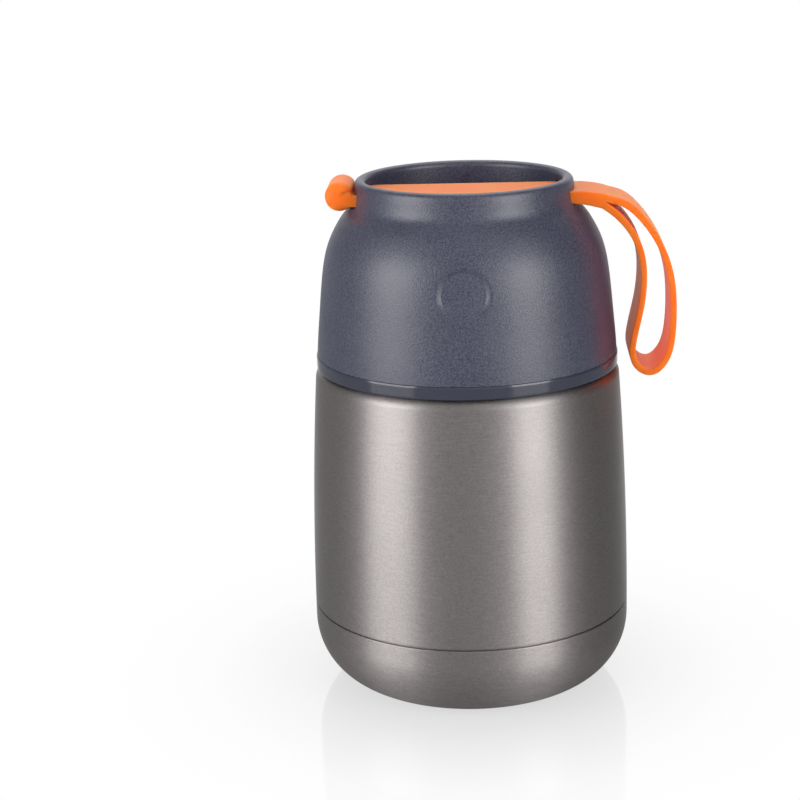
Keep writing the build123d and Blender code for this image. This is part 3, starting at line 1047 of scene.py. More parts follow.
@dataclass
class Stopper:
    """The screw-in stopper: plug, threaded skirt, scalloped grip, gasket and vent."""

    plug_radius: float = 34.4
    plug_wall: float = 1.8
    plug_bottom: float = 103.4
    deck: Point = (118.6, 120.4)
    skirt_bore: float = 38.2
    skirt_radius: float = 40.8
    foot_radius: float = 43.15
    foot: Point = (103.4, 104.4)
    tube: Point = (4.0, 5.2)
    neck_thread_lead: float = 9.0
    neck_thread_rise: float = 2.2
    lid_thread_lead: float = 12.0
    lid_thread_rise: float = 3.4
    cap_radius: float = 40.4
    cap_base_top: float = 122.4
    cap_thickness: float = 2.0
    grip_radius: float = 29.0
    grip_top: float = 128.4
    grip_wall: float = 3.5
    grip_round: float = 1.2
    grip_root: tuple[Point, ...] = ((0.9, 0.0), (0.35, 0.12), (0.08, 0.4), (0.0, 0.9))
    grip_foot: float = 1.4
    grip_crown: tuple[Point, ...] = ((0.25, 0.0), (0.6, 0.05), (0.85, 0.2))
    crown_start: float = 1.2
    scallops: int = 12
    faces_per_scallop: int = 24
    scallop_radius: float = 5.0
    scallop_depth: float = 1.6
    scallop_softness: float = 0.5
    well_radius: float = 10.2
    well_wall: float = 2.2
    well_floor: float = 122.0
    well_rim: Point = (1.4, 0.9)
    well_drop: float = 0.35
    stem_hole: float = 2.6
    gasket: Washer = Washer((34.7, 37.9), (117.0, 118.6))
    button_radius: float = 9.7
    button: Point = (127.0, 130.0)
    button_crown: float = 0.9
    button_rounds: Point = (0.25, 0.4)
    crown_shares: Corner = (0.12, 0.25, 0.4)
    button_hollow: tuple[Point, ...] = (
        (5.4, 0.16), (5.1, 0.30), (4.6, 0.42), (3.6, 0.50), (2.0, 0.54), (0.0, 0.55),
    )
    stem_radius: float = 2.55
    stem_head: Corner = (3.6, 100.8, 101.8)
    head_round: float = 0.3
    vent_seal: Washer = Washer((2.55, 6.0), (101.8, 103.4), (0.1, 0.6, 0.2, 0.1), 96)
    spring_radius: float = 5.0
    spring_wire: float = 0.6
    spring_turns: int = 3
    spring_steps: tuple[int, int] = (64, 14)
    spring: Point = (122.0, 127.0)
    segments: int = 192

    def body(self) -> Object:
        """Make the plug and the skirt, with a thread inside it and one outside.

        Returns:
            The piece.
        """
        (low, high), (sole, heel), (tube, tube_wall) = self.deck, self.foot, self.tube
        plug, bottom = self.plug_radius, self.plug_bottom
        bore, skirt, foot = self.skirt_bore, self.skirt_radius, self.foot_radius
        hollow, floor = plug - self.plug_wall, bottom + self.plug_wall
        corners = [(tube, bottom, 0.3), (plug, bottom, 0.9), (plug, low, 0.3), (bore, low, 0.4)]
        corners += [(bore, sole, 0.3), (foot, sole, 0.35), (foot, heel, 0.25), (skirt, heel, 0.2)]
        corners += [(skirt, high, 0.5), (hollow, high, 0.0), (hollow, floor, 0.0)]
        corners += [(tube_wall, floor, 0.0), (tube_wall, high, 0.0), (tube, high, 0.0)]
        ribs = (
            Thread(
                bore, height=0.85, lead=self.neck_thread_lead, turns=1.0, side=Side.INSIDE,
                start_height=sole + self.neck_thread_rise, start_angle=80.0, width=1.9,
            ),
            Thread(
                skirt, height=1.1, lead=self.lid_thread_lead, turns=0.85, side=Side.OUTSIDE,
                start_height=heel + self.lid_thread_rise, start_angle=-40.0,
            ),
        )
        shape = turned(rounded(corners), self.segments, threads=ribs)
        return shape.place("stopper_plug", Body.STOPPER, Slot.STOPPER_PLASTIC, "stopper_body")

    def grip_reach(self, angle: float) -> float:
        """The grip's radius where a ray leaves its outline.

        Args:
            angle: the ray's direction, in radians.

        Returns:
            The radius, drawn in at each finger scallop with a soft edge.
        """
        pitch, grip, soft = 2 * math.pi / self.scallops, self.grip_radius, self.scallop_softness
        off = (angle + pitch / 2) % pitch - pitch / 2
        centre = grip + self.scallop_radius - self.scallop_depth
        under = self.scallop_radius**2 - (centre * math.sin(off)) ** 2
        if under <= 0:
            return grip
        reach = centre * math.cos(off) - math.sqrt(under)
        return min(reach, grip) - soft * math.exp(-abs(reach - grip) / soft) / 2

    def cap(self) -> Object:
        """Make the cap: a flat base and a scalloped grip round the vent's well.

        Returns:
            The piece.
        """
        base, top, bend, under = self.cap_base_top, self.grip_top, self.grip_round, self.deck[1]
        well, hole, within = self.well_radius, self.stem_hole, self.well_radius + self.well_wall
        ceiling, inside = top - self.cap_thickness, self.grip_radius - self.grip_wall
        fixed_out = [(within, under, 0.0), (within, ceiling, 0.0), (inside, ceiling, 0.0)]
        fixed_out += [(inside, under, 0.0), (self.cap_radius, under, 0.25)]
        fixed_out += [(self.cap_radius, base, 0.5), (self.grip_radius + self.grip_foot, base, 0.0)]
        edge, (rim, lip) = top - self.well_drop, (well + out for out in self.well_rim)
        fixed_in = [(rim, edge, 0.0), (lip, edge, 0.0), (well, edge, 0.35)]
        fixed_in += [(well, self.well_floor, 0.4), (hole, self.well_floor, 0.0), (hole, under, 0.0)]
        grip = [(out, base + up) for out, up in self.grip_root]
        grip += [(0.0, (base + top) / 2), (0.0, top - bend - 0.4)]
        grip += arc((-bend, top - bend), bend, 0, 90, 7)
        grip += [(-bend - 0.4, top), (-bend - self.crown_start, top)]
        count = self.scallops * self.faces_per_scallop
        reaches = [self.grip_reach(2 * math.pi * j / count) for j in range(count)]
        shape = Shape()
        rows = [shape.ring([r] * count, z, r + z) for r, z in rounded(fixed_out)]
        rows += [shape.ring([reach + out for reach in reaches], z, out + z) for out, z in grip]
        crown = [reach - bend - self.crown_start for reach in reaches]
        for share, drop in self.grip_crown:
            radii = [r + (rim - r) * share for r in crown]
            rows.append(shape.ring(radii, top - drop, 40.0 + share))
        rows += [shape.ring([r] * count, z, 60.0 - r - z) for r, z in rounded(fixed_in)]
        shape.loft([*rows, rows[0]])
        return shape.place("stopper_grip", Body.STOPPER, Slot.STOPPER_PLASTIC, "stopper_cap")

    def vent(self) -> tuple[Object, Object]:
        """Make the vent button on its stem and the seal under it.

        Returns:
            The button and the seal.
        """
        radius, (bottom, top), stem = self.button_radius, self.button, self.stem_radius
        (head, head_low, head_high), bend = self.stem_head, self.head_round
        edge, (under, over) = top - self.button_crown, self.button_rounds
        section = [(0.0, head_low), (head - bend, head_low)]
        section += arc((head - bend, head_low + bend), bend, 270, 90, 4)
        section += [(head, head_high), (stem, head_high), (stem, bottom - 0.2), (stem, bottom)]
        section += [(radius - 2 * under, bottom)]
        section += arc((radius - under, bottom + under), under, 270, 90, 4)
        section += [(radius, edge - 0.5)]
        section += arc((radius - over, edge - FLAT_RUN), over, 0, 60, 5)
        r, z = section[-1]
        crown = ((share, 1 - (1 - share) ** 2) for share in self.crown_shares)
        section += [(r * (1 - share), z + (top - z) * rise) for share, rise in crown]
        section += [(out, top - drop) for out, drop in self.button_hollow]
        button = turned(section, 128, closed=False)
        slot = Slot.ORANGE_SILICONE
        seal = self.vent_seal.shape()
        return (
            button.place("vent_button_cap", Body.VENT, slot, "vent_button"),
            seal.place("vent_seal_ring", Body.VENT, slot, "vent_seal"),
        )

    def spring_coil(self) -> Object:
        """Make the vent's coil spring.

        Returns:
            The piece.
        """
        wire, turns = self.spring_wire / 2, self.spring_turns
        low, high = self.spring[0] + wire, self.spring[1] - wire
        (steps, sides), shape, rows = self.spring_steps, Shape(), []
        for share in np.linspace(0.0, 1.0, turns * steps + 1):
            angle, middle = 2 * math.pi * turns * share, low + (high - low) * share
            around = arc((self.spring_radius, middle), wire, 0, 360, sides + 1)[:-1]
            rows.append([shape.point(*polar(r, angle), z, share) for r, z in around])
        shape.loft(rows, capped=True)
        piece = shape.place("vent_spring_coil", Body.STOPPER, Slot.SPRING_STEEL, "vent_spring")
        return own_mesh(piece)

    def build(self, nodes: dict[str, Object]) -> None:
        """Make and dress the stopper's pieces.

        Args:
            nodes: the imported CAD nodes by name.
        """
        STOPPER_PLASTIC.dress(self.body(), self.cap())
        Silicone().dress(*self.vent())
        gasket, slot = self.gasket.shape(), Slot.WHITE_SILICONE
        WHITE_SILICONE.dress(
            gasket.place("stopper_gasket_ring", Body.STOPPER_RING, slot, "stopper_gasket")
        )
        SPRING_WIRE.dress(self.spring_coil())
        Foam().dress(nodes["stopper_foam"])


# ---------------------------------------------------------------------------------- lid


@dataclass
class Lid:
    """The domed bowl lid: shell with strap slots and dimple, liner with its glossy band."""

    wall: float = 2.0
    dome_knots: tuple[Corner, ...] = (
        (47.1, 107.6, 3.0), (45.946, 121.25, 5.5), (44.702, 132.989, 9.0), (42.804, 141.816, 17.5),
        (39.452, 148.778, 32.0), (37.454, 151.599, 43.0), (36.0, 153.1, 45.0),
    )
    foot_chamfer: float = 0.12
    neck: Point = (34.6, 155.6)
    rim_radius: float = 33.8
    rim_lean: float = 13.0
    rim_inner_radius: float = 30.3
    rim_top: float = 162.4
    recess_floor: float = 151.0
    recess_underside: float = 149.0
    recess_bend: float = 1.5
    slot_middle: float = 156.7
    slot_half: Point = (10.5, 2.3)
    slot_bend: float = 1.2
    slot_edge: float = 0.35
    slot_fit: Point = (0.4, 0.8)
    slot_rows: tuple[float, float, int] = (153.4, 160.1, 12)
    dimple_height: float = 134.2
    dimple_radius: float = 6.6
    dimple_depth: float = 0.85
    dimple_slope: Point = (1.7, 1.2)
    dimple_foot: float = 0.3
    dimple_fade: float = -0.2
    dimple_fit: float = 0.15
    dimple_rows: tuple[float, float, int] = (125.0, 143.4, 16)
    dimple_reaches: tuple[float, ...] = (
        8.8, 8.5, 8.2, 7.9, 7.65, 7.4, 7.2, 7.0, 6.85, 6.75, 6.66, 6.6, 6.56, 6.4, 6.0, 5.3, 4.4,
        3.2, 1.6,
    )
    columns: int = 240
    foot_cells: int = 15
    shoulder_cells: int = 34
    liner_bottom: float = 103.6
    band_radius: float = 47.4
    band_chamfer: Point = (0.17, 0.55)
    bore: float = 42.3
    counterbore: float = 43.45
    ledge: float = 106.0
    thread_top: float = 118.0
    liner_inset: float = 2.3
    liner_wall: float = 1.5
    liner_top: float = 148.7
    bowl_flat_radius: float = 32.0
    thread_lead: float = 12.0
    thread_rise: float = 1.4
    gasket: Washer = Washer((41.45, 43.15), (104.4, 106.0))

    def dome(self, inset: float, first: int = 0, last: int = 7) -> list[Point]:
        """The dome's knots from first up to last, moved in square to its face."""
        knots = ((r, z, math.radians(lean)) for r, z, lean in self.dome_knots[first:last])
        return [(r - inset * math.cos(a), z - inset * math.sin(a)) for r, z, a in knots]

    def ways(self) -> tuple[Point, Point]:
        """The directions in which the dome's face leaves its foot and reaches the neck."""
        return upward(self.dome_knots[0][2]), upward(self.dome_knots[-1][2])

    def rim_roll(self) -> list[Point]:
        """Draw the rim's roll, from the neck over the top to the recess's wall.

        Returns:
            Points along the roll.
        """
        bend = (self.rim_radius - self.rim_inner_radius) / 2
        middle = (self.rim_radius - bend, self.rim_top - bend)
        return arc(middle, bend, self.rim_lean, 180 - self.rim_lean, 19)

    def outer_line(self) -> list[Point]:
        """Draw the shell's outer face from its foot to where the rim's roll starts.

        Returns:
            Closely spaced points.
        """
        start, end = self.ways()
        dome = smooth_curve(self.dome(0.0), start, end, 900)
        knots = [dome[-1], self.neck, self.rim_roll()[0]]
        return dome + smooth_curve(knots, end, upward(self.rim_lean), 400)[1:]

    def outer_section(self, line: Sequence[Point], start: int) -> tuple[list[Point], range, range]:
        """Choose the rows of the shell's outer face, even inside its two windows.

        Args:
            line: the closely spaced outer face.
            start: how many rows come before these.

        Returns:
            The rows, and the ranges of rows in the dimple's window and in the slots' window.
        """
        path = np.array(line)
        radii, heights, lengths = path[:, 0], path[:, 1], travelled(path)

        def by_height(low: float, high: float, cells: int) -> list[Point]:
            """Space rows evenly by height."""
            at = np.linspace(low, high, cells + 1)
            return list(zip(np.interp(at, heights, radii).tolist(), at.tolist()))

        def by_length(low: float, high: float, cells: int) -> list[Point]:
            """Space rows evenly along the face."""
            at = np.linspace(*np.interp([low, high], heights, lengths), cells + 1)
            return list(zip(*(np.interp(at, lengths, v).tolist() for v in (radii, heights))))

        (foot, bottom, _), cut = self.dome_knots[0], self.foot_chamfer
        rows = [(foot - cut, bottom), (foot, bottom + cut)]
        rows += by_height(bottom + 0.5, self.dimple_rows[0], self.foot_cells)
        first = start + len(rows) - 1
        dimple = range(first, first + self.dimple_rows[2])
        rows += by_height(*self.dimple_rows)[1:]
        rows += by_length(self.dimple_rows[1], self.slot_rows[0], self.shoulder_cells)[1:]
        first = start + len(rows) - 1
        rows += by_height(*self.slot_rows)[1:]
        return [*rows, line[-1]], dimple, range(first, first + self.slot_rows[2])

    def on_slot(self, y: float, z: float, out: float) -> Point:
        """The nearest point of a strap slot's outline, or of one grown all round.

        Args:
            y: place across the slot.
            z: height.
            out: how far outside the slot's edge the outline runs.

        Returns:
            Place across the slot, and height.
        """
        place = np.array((y, z - self.slot_middle))
        core = np.array(self.slot_half) - self.slot_bend
        nearest = np.clip(place, -core, core)
        on = nearest + unit(place - nearest) * (self.slot_bend + out)
        return float(on[0]), self.slot_middle + float(on[1])

    def slot_mouth(
        self, shape: Shape, edge: Sequence[int], face: Sequence[Point], side: int, way: Side
    ) -> list[int]:
        """Draw the face down to a slot's rounded edge.

        Args:
            shape: the shell.
            edge: the points round the window.
            face: radius and height of points up the face that the slot opens in.
            side: 1 for the slot at +X, -1 for the one at -X.
            way: whether the mouth is on the neck's outside or its inside.

        Returns:
            The points where the mouth's round meets the slot's straight wall.
        """
        radii, heights = zip(*sorted(face, key=lambda p: p[1]))
        turns = np.radians(np.linspace(0, 90, 5))
        steps = [(1.0, 0.0, share) for share in self.slot_fit]
        steps += [(1 - math.sin(a), 1 - math.cos(a), 1.0) for a in turns]
        loops = [list(edge)]
        for out, depth, share in steps:
            row = []
            for point in edge:
                _, y0, z0, length = shape.points[point]
                y1, z1 = self.on_slot(y0, z0, self.slot_edge * out)
                y, z = y0 + (y1 - y0) * share, z0 + (z1 - z0) * share
                x = math.sqrt(float(np.interp(z, heights, radii)) ** 2 - y * y)
                x = side * (x - way.value * self.slot_edge * depth)
                row.append(shape.point(x, y, z, length))
            loops.append(row)
        shape.loft(loops)
        return loops[-1]

    def dimple_at(self, reach: float, rise: float) -> float:
        """How deep the dimple is: flat, less at its foot, with a hollow slope round it.

        Args:
            reach: distance from the dimple's middle.
            rise: how far above its middle.

        Returns:
            The depth.
        """
        width, power = self.dimple_slope
        share = min(max(1 - (reach - self.dimple_radius) / width, 0.0), 1.0)
        foot = smooth_step(rise, -self.dimple_radius, self.dimple_fade * self.dimple_radius)
        return self.dimple_depth * (self.dimple_foot + (1 - self.dimple_foot) * foot) * share**power

    def dimple(self, shape: Shape, edge: Sequence[int], line: Sequence[Point]) -> None:
        """Draw the round dimple inside its window.

        Args:
            shape: the shell.
            edge: the points round the window.
            line: the shell's outer face.
        """
        radii, heights = zip(*line)
        middle, widest = self.dimple_height, self.dimple_reaches[0]

        def surface(x: float, z: float, depth: float, length: float) -> int:
            """Add a point on the dome's front, pressed in by a depth."""
            reach = float(np.interp(z, heights, radii)) - depth
            return shape.point(x, -math.sqrt(reach * reach - x * x), z, length)

        loops = [list(edge)]
        for reach in self.dimple_reaches:
            ease = self.dimple_fit if reach == widest else 0.0
            row = []
            for point in edge:
                x0, _, z0, length = shape.points[point]
                out, rise = polar(reach, math.atan2(z0 - middle, x0))
                x, z = out + (x0 - out) * ease, middle + rise
                row.append(surface(x, z + (z0 - z) * ease, self.dimple_at(reach, rise), length))
            loops.append(row)
        shape.loft(loops)
        heart = surface(0.0, middle, self.dimple_at(0.0, 0.0), shape.points[edge[0]][3])
        for i, point in enumerate(loops[-1]):
            shape.face(point, loops[-1][(i + 1) % len(edge)], heart)

    def shell(self) -> Object:
        """Make the shell: dome, rolled rim, recess, two strap slots and the dimple.

        Returns:
            The piece.
        """
        inner, below, corner = self.rim_inner_radius, self.recess_underside, self.recess_bend
        back = smooth_curve(self.dome(self.wall), *self.ways(), 40)
        step = inner + self.wall
        under = [(0.0, below), (inner, below), (step, below), (step, back[-1][1]), *back[::-1]]
        line, roll, start = self.outer_line(), self.rim_roll()[1:], len(under)
        outside, dimple, slot = self.outer_section(line, start)
        passed = outside[slot.start - start : slot.stop - start + 1]
        wall = [(inner, z) for _, z in reversed(passed)]
        floor = arc((inner - corner, self.recess_floor + corner), corner, 0, -90, 8)
        flat = [inner - corner - run for run in (0.4, 6.0, 16.0)] + [0.0]
        floor += [(radius, self.recess_floor) for radius in flat]
        wall_first = start + len(outside) + len(roll)
        back_slot = range(wall_first, wall_first + len(slot))
        half, front, reach = self.columns // 2, 3 * (self.columns // 4), self.columns // 16
        windows = [Window(dimple, range(front - len(dimple) // 2, front + len(dimple) // 2))]
        for rows in (slot, back_slot):
            windows += [Window(rows, range(at - reach, at + reach)) for at in (0, half)]
        shape = Shape()
        section = under + outside + roll + wall + floor
        grid = shape.lathe(section, self.columns, closed=False, windows=windows)
        self.dimple(shape, windows[0].edge(grid), line)
        inner_wall, last = [(inner, 0.0), (inner, 2 * self.rim_top)], len(grid) - 1
        for outer, hole, side in zip(windows[1:3], windows[3:], (1, -1)):
            mouth = self.slot_mouth(shape, outer.edge(grid), line, side, Side.OUTSIDE)
            mirrored = Window(range(last - hole.rows.stop, last - hole.rows.start), hole.columns)
            edge = mirrored.edge(grid[::-1])
            shape.band(mouth, self.slot_mouth(shape, edge, inner_wall, side, Side.INSIDE))
        return shape.place("lid_dome", Body.LID, Slot.LID_PLASTIC, "lid_shell")

    def liner(self) -> Object:
        """Make the liner: the bowl's inside, its thread, and the glossy band at the foot.

        Returns:
            The piece.
        """
        inset, top, bore = self.liner_inset, self.liner_top, self.bore
        start, level = self.ways()[0], (-1.0, 0.0)
        knots = self.dome(inset, 0, 4) + [(self.bowl_flat_radius, top)]
        outside = smooth_curve(knots, start, level, 48)
        ceiling, flat = top - self.liner_wall, self.bowl_flat_radius - self.liner_wall
        knots = [(bore, self.thread_top)] + self.dome(inset + self.liner_wall, 2, 4)
        inside = smooth_curve([*knots, (flat, ceiling)], (0.0, 1.0), level, 48)
        low, band, (chamfer, drop) = self.liner_bottom, self.band_radius, self.band_chamfer
        band_top = self.dome_knots[0][1]
        foot = [(bore, self.thread_top, 0.0), (bore, self.ledge, 0.3)]
        foot += [(self.counterbore, self.ledge, 0.0), (self.counterbore, low, 0.3)]
        foot += [(band, low, 0.55), (band, band_top - drop, 0.1), (band - chamfer, band_top, 0.08)]
        foot.append((outside[0][0], band_top, 0.0))
        section = [(0.0, ceiling), *inside[::-1], *rounded(foot, steps=6)[1:], *outside[1:]]
        rib = Thread(
            bore, height=1.1, lead=self.thread_lead, turns=0.8, side=Side.INSIDE,
            start_height=self.ledge + self.thread_rise, start_angle=120.0,
        )
        shape = turned([*section, (0.0, top)], self.columns, closed=False, threads=(rib,))
        return shape.place("lid_bowl_liner", Body.LID, Slot.LINER_PLASTIC, "lid_liner")

    def build(self) -> None:
        """Make and dress the lid's pieces."""
        GrainedPlastic().dress(self.shell())
        GLOSS_PLASTIC.dress(self.liner())
        gasket, slot = self.gasket.shape(), Slot.WHITE_SILICONE
        WHITE_SILICONE.dress(gasket.place("lid_gasket_ring", Body.LID_RING, slot, "lid_gasket"))


# -------------------------------------------------------------------------------- strap


@dataclass
class Strap:
    """The silicone strap: rolled knob, band through the lid, and the loop beside it."""

    width: float = 20.0
    thickness: float = 1.9
    split_thickness: float = 2.25
    height: float = 156.7
    hinge: float = 38.0
    edge_round: float = 0.35
    knob_centre: Point = (-38.05, 158.0)
    knob_radius: float = 4.5
    knob_flat: float = -34.25
    knob_end: float = 2.9
    knob_belly: Point = (2.65, 0.78)
    knob_notch: Point = (0.9, 0.8)
    stub_end: float = -32.3
    stub_play: float = 0.04
    stub_reach: Corner = (-2.2, 0.3, 1.6)
    band_start: float = -32.6
    bend_span: Point = (36.6, 41.6)
    droop: tuple[Point, ...] = ((-6.0, 0.0), (0.0, 0.36), (3.0, 0.94))
    gap_tip: Point = (5.25, 1.6)
    tip_directions: tuple[Point, Point] = ((0.82, -0.57), (-0.96, 0.28))
    gap_points: tuple[Point, ...] = (
        (8.6, 4.1), (11.9, 7.45), (14.7, 11.6), (16.7, 16.4), (17.7, 21.5), (17.85, 26.5),
        (17.35, 32.6), (15.95, 39.8), (14.75, 45.6), (14.5, 49.4), (15.9, 52.8), (19.2, 54.3),
        (22.2, 52.1), (24.3, 47.0), (25.0, 41.0), (25.1, 34.0), (24.4, 26.0), (22.7, 19.6),
        (19.1, 12.3), (15.0, 6.95), (10.0, 3.0),
    )
    loop_steps: int = 210
    band_steps: int = 60
    knob_cap: Point = (0.35, 0.7)
    tip_blend: float = 24.0
    tip_fit: float = 8.0

    def layers(self, bend: float) -> list[Point]:
        """Slices across the strap's width: place, and how far the outline draws in.

        Args:
            bend: radius of the round at both edges.

        Returns:
            Slices from one edge to the other.
        """
        flat = self.width / 2 - bend
        turns = np.radians(np.linspace(90, 0, 7))
        edge = [(flat + bend * math.sin(a), bend * (1 - math.cos(a))) for a in turns]
        edge.append((flat - FLAT_RUN, 0.0))
        return [(-y, inset) for y, inset in edge] + [(0.0, 0.0)] + edge[::-1]

    def middle_line(self, tip: Point, heading: Point) -> list[Point]:
        """Draw the doubled part's middle, which droops towards the split.

        Args:
            tip: where the two layers part.
            heading: the direction of the strap there.

        Returns:
            Points from the slot on the knob's side to the split.
        """
        knots = [(self.hinge + r, self.height - d) for r, d in self.droop]
        bent = smooth_curve([*knots, tip], (1, 0), heading, 25)
        straight = np.linspace(self.band_start, knots[0][0], self.band_steps, endpoint=False)
        return [(float(x), self.height) for x in straight] + bent

    def thickened(self, near_tip: float | np.ndarray) -> float | np.ndarray:
        """The layer's thickness, which swells to its full amount at the split."""
        return self.thickness + (self.split_thickness - self.thickness) * near_tip

    def outlines(self) -> tuple[np.ndarray, np.ndarray, np.ndarray]:
        """Draw the strap seen from its edge.

        Returns:
            The doubled part's middle line, the loop's inner line and its outer one.
        """
        tip = (self.hinge + self.gap_tip[0], self.height - self.gap_tip[1])
        around = [(self.hinge + r, self.height - d) for r, d in self.gap_points]
        gap = np.array(smooth_curve([tip, *around, tip], *self.tip_directions, self.loop_steps + 1))
        start, end = unit(np.array(self.tip_directions))
        heading = unit(start - end)
        along = np.gradient(gap, axis=0)
        along[0], along[-1] = start, end
        right = unit(along)[:, ::-1] * (1, -1)
        gone = travelled(gap)
        left = gone[-1] - gone
        near_tip = 1 - smooth_step(np.minimum(gone, left), 0.0, self.tip_blend)
        out = gap + self.thickened(near_tip)[:, None] * right
        down = heading[::-1] * (1, -1) * self.split_thickness
        ends = (tip + down - out[0], tip - down - out[-1])
        for gap_left, off in zip((gone, left), ends):
            out = out + off * (1 - smooth_step(gap_left, 0.0, self.tip_fit))[:, None]
        return np.array(self.middle_line(tip, tuple(heading))), gap, out

    @staticmethod
    def outward(line: np.ndarray) -> np.ndarray:
        """The direction to the right of a closed line at each of its points."""
        steps = np.roll(line, -1, axis=0) - np.roll(line, 1, axis=0)
        return unit(steps)[:, ::-1] * (1, -1)

    def draw_strap(self, shape: Shape) -> None:
        """Add the band, the doubled part and the loop as one closed form.

        Args:
            shape: the strap's shape.
        """
        middle, gap, out = self.outlines()
        up = unit(np.gradient(middle, axis=0))[:, ::-1] * (-1, 1)
        swell_from, swell_to = self.hinge + self.droop[0][0], self.hinge + self.gap_tip[0]
        up = up * self.thickened(smooth_step(middle[:, 0], swell_from, swell_to))[:, None]
        upper, lower = middle + up, middle - up
        lower[-1], upper[-1] = out[0], out[-1]
        outer, inner = np.concatenate([lower, out[1:-1], upper[::-1]]), gap[:-1]
        outer_way, inner_way = self.outward(outer), self.outward(inner)
        first, last = np.array(self.tip_directions)
        inner_way[0] = unit(last - first)
        outsides, insides = [], []
        for y, inset in self.layers(self.edge_round):
            around = ((outsides, outer - outer_way * inset), (insides, inner + inner_way * inset))
            for rows, line in around:
                rows.append([shape.point(x, y, z, x) for x, z in line])
        shape.loft(outsides)
        shape.loft(insides)
        doubled, total = len(lower), len(outer)
        for outside, inside in ((outsides[0], insides[0]), (outsides[-1], insides[-1])):
            y = shape.points[outside[0]][1]
            mids = [shape.point(x, y, z, x) for x, z in middle[:-1]] + [inside[0]]
            shape.band(outside[:doubled], mids, closed=False)
            shape.band(mids, outside[total - doubled :][::-1], closed=False)
            ring = outside[doubled - 1 : total - doubled + 1]
            shape.band(ring, [*inside, inside[0]], closed=False)

    def knob_outline(self) -> list[Point]:
        """Draw the rolled knob with its stub, seen from the strap's edge.

        Returns:
            Points once round, from the stub's lower end.
        """
        (cx, cz), radius, flat = self.knob_centre, self.knob_radius, self.knob_flat
        half = self.thickness - self.stub_play
        low, high = self.height - half, self.height + half
        lean = math.degrees(math.acos((flat - cx) / radius))
        roll = arc(self.knob_centre, radius, lean, 268 - lean, 60)
        run, rise = self.knob_notch
        notch = smooth_curve([(flat + run, high), (flat, high + rise)], (-1, 0), (0, 1), 6)
        belly = (cx + self.knob_belly[0], cz - radius + self.knob_belly[1])
        under = smooth_curve([roll[-1], belly, (flat + 0.1, low)], (1, 0), (1, 0.05), 16)
        ends = [(self.stub_end, z) for z in (low, self.height, high)]
        return ends + notch + [(flat, (high + rise + roll[0][1]) / 2)] + roll + under[1:]

    def draw_knob(self, shape: Shape) -> None:
        """Add the rolled knob that keeps the strap in the lid.

        Args:
            shape: the strap's shape.
        """
        (cx, cz), (low, high, above) = self.knob_centre, self.stub_reach
        points = np.array(self.knob_outline())
        in_stub = smooth_step(points[:, 0], self.knob_flat + low, self.knob_flat + high)
        in_stub = in_stub * (points[:, 1] < cz + above)
        shares = (1 + (self.edge_round / self.knob_end - 1) * in_stub)[:, None]
        inward = -self.outward(points) * shares
        rows = []
        for y, inset in self.layers(self.knob_end):
            rows.append([shape.point(x, y, z, y) for x, z in points + inward * inset])
        shape.loft(rows)
        for row in (rows[0], rows[-1]):
            rim = [shape.points[point] for point in row]
            loops = [row]
            for share in self.knob_cap:
                places = [(x + (cx - x) * share, y, z + (cz - z) * share, y) for x, y, z, _ in rim]
                loops.append([shape.point(*place) for place in places])
            shape.loft(loops)
            shape.faces.append(tuple(loops[-1]))

    def build(self) -> None:
        """Make the strap and dress it."""
        shape = Shape()
        self.draw_strap(shape)
        self.draw_knob(shape)
        strap = shape.build("carry_strap", 40.0)
        start, end = ((x * MM, 0.0, self.height * MM) for x in self.bend_span)
        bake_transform(strap)
        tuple(start)
        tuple(end)
        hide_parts("strap_band", "strap_loop")
        Silicone().dress(strap)
        log.info("%s bends between %s and %s", strap.name, Body.LID.value, Body.STRAP.value)


# ------------------------------------------------------------------------------- studio


@dataclass(frozen=True)
class Softbox:
    """A large soft lamp that faces the jar. Its size and its distance are in metres."""

    name: str
    azimuth: float
    elevation: float
    distance: float
    size: Point
    glow: float
    aim_height: float = 0.08

    def build(self) -> None:
        """Hang the lamp and point it at the jar."""
        lamp = bpy.data.lights.new(self.name, "AREA")
        lamp.shape = "RECTANGLE"
        lamp.size, lamp.size_y = self.size
        lamp.energy = self.glow * self.size[0] * self.size[1] * math.pi
        level, height = polar(1.0, math.radians(self.elevation))
        ahead, aside = polar(level, math.radians(self.azimuth))
        away = Vector((aside, -ahead, height))
        hung = bpy.data.objects.new(self.name, lamp)
        hung.location = Vector((0, 0, self.aim_height)) + away * self.distance
        hung.rotation_euler = away.to_track_quat("Z", "Y").to_euler()
        hung.visible_camera = False
        bpy.context.scene.collection.objects.link(hung)


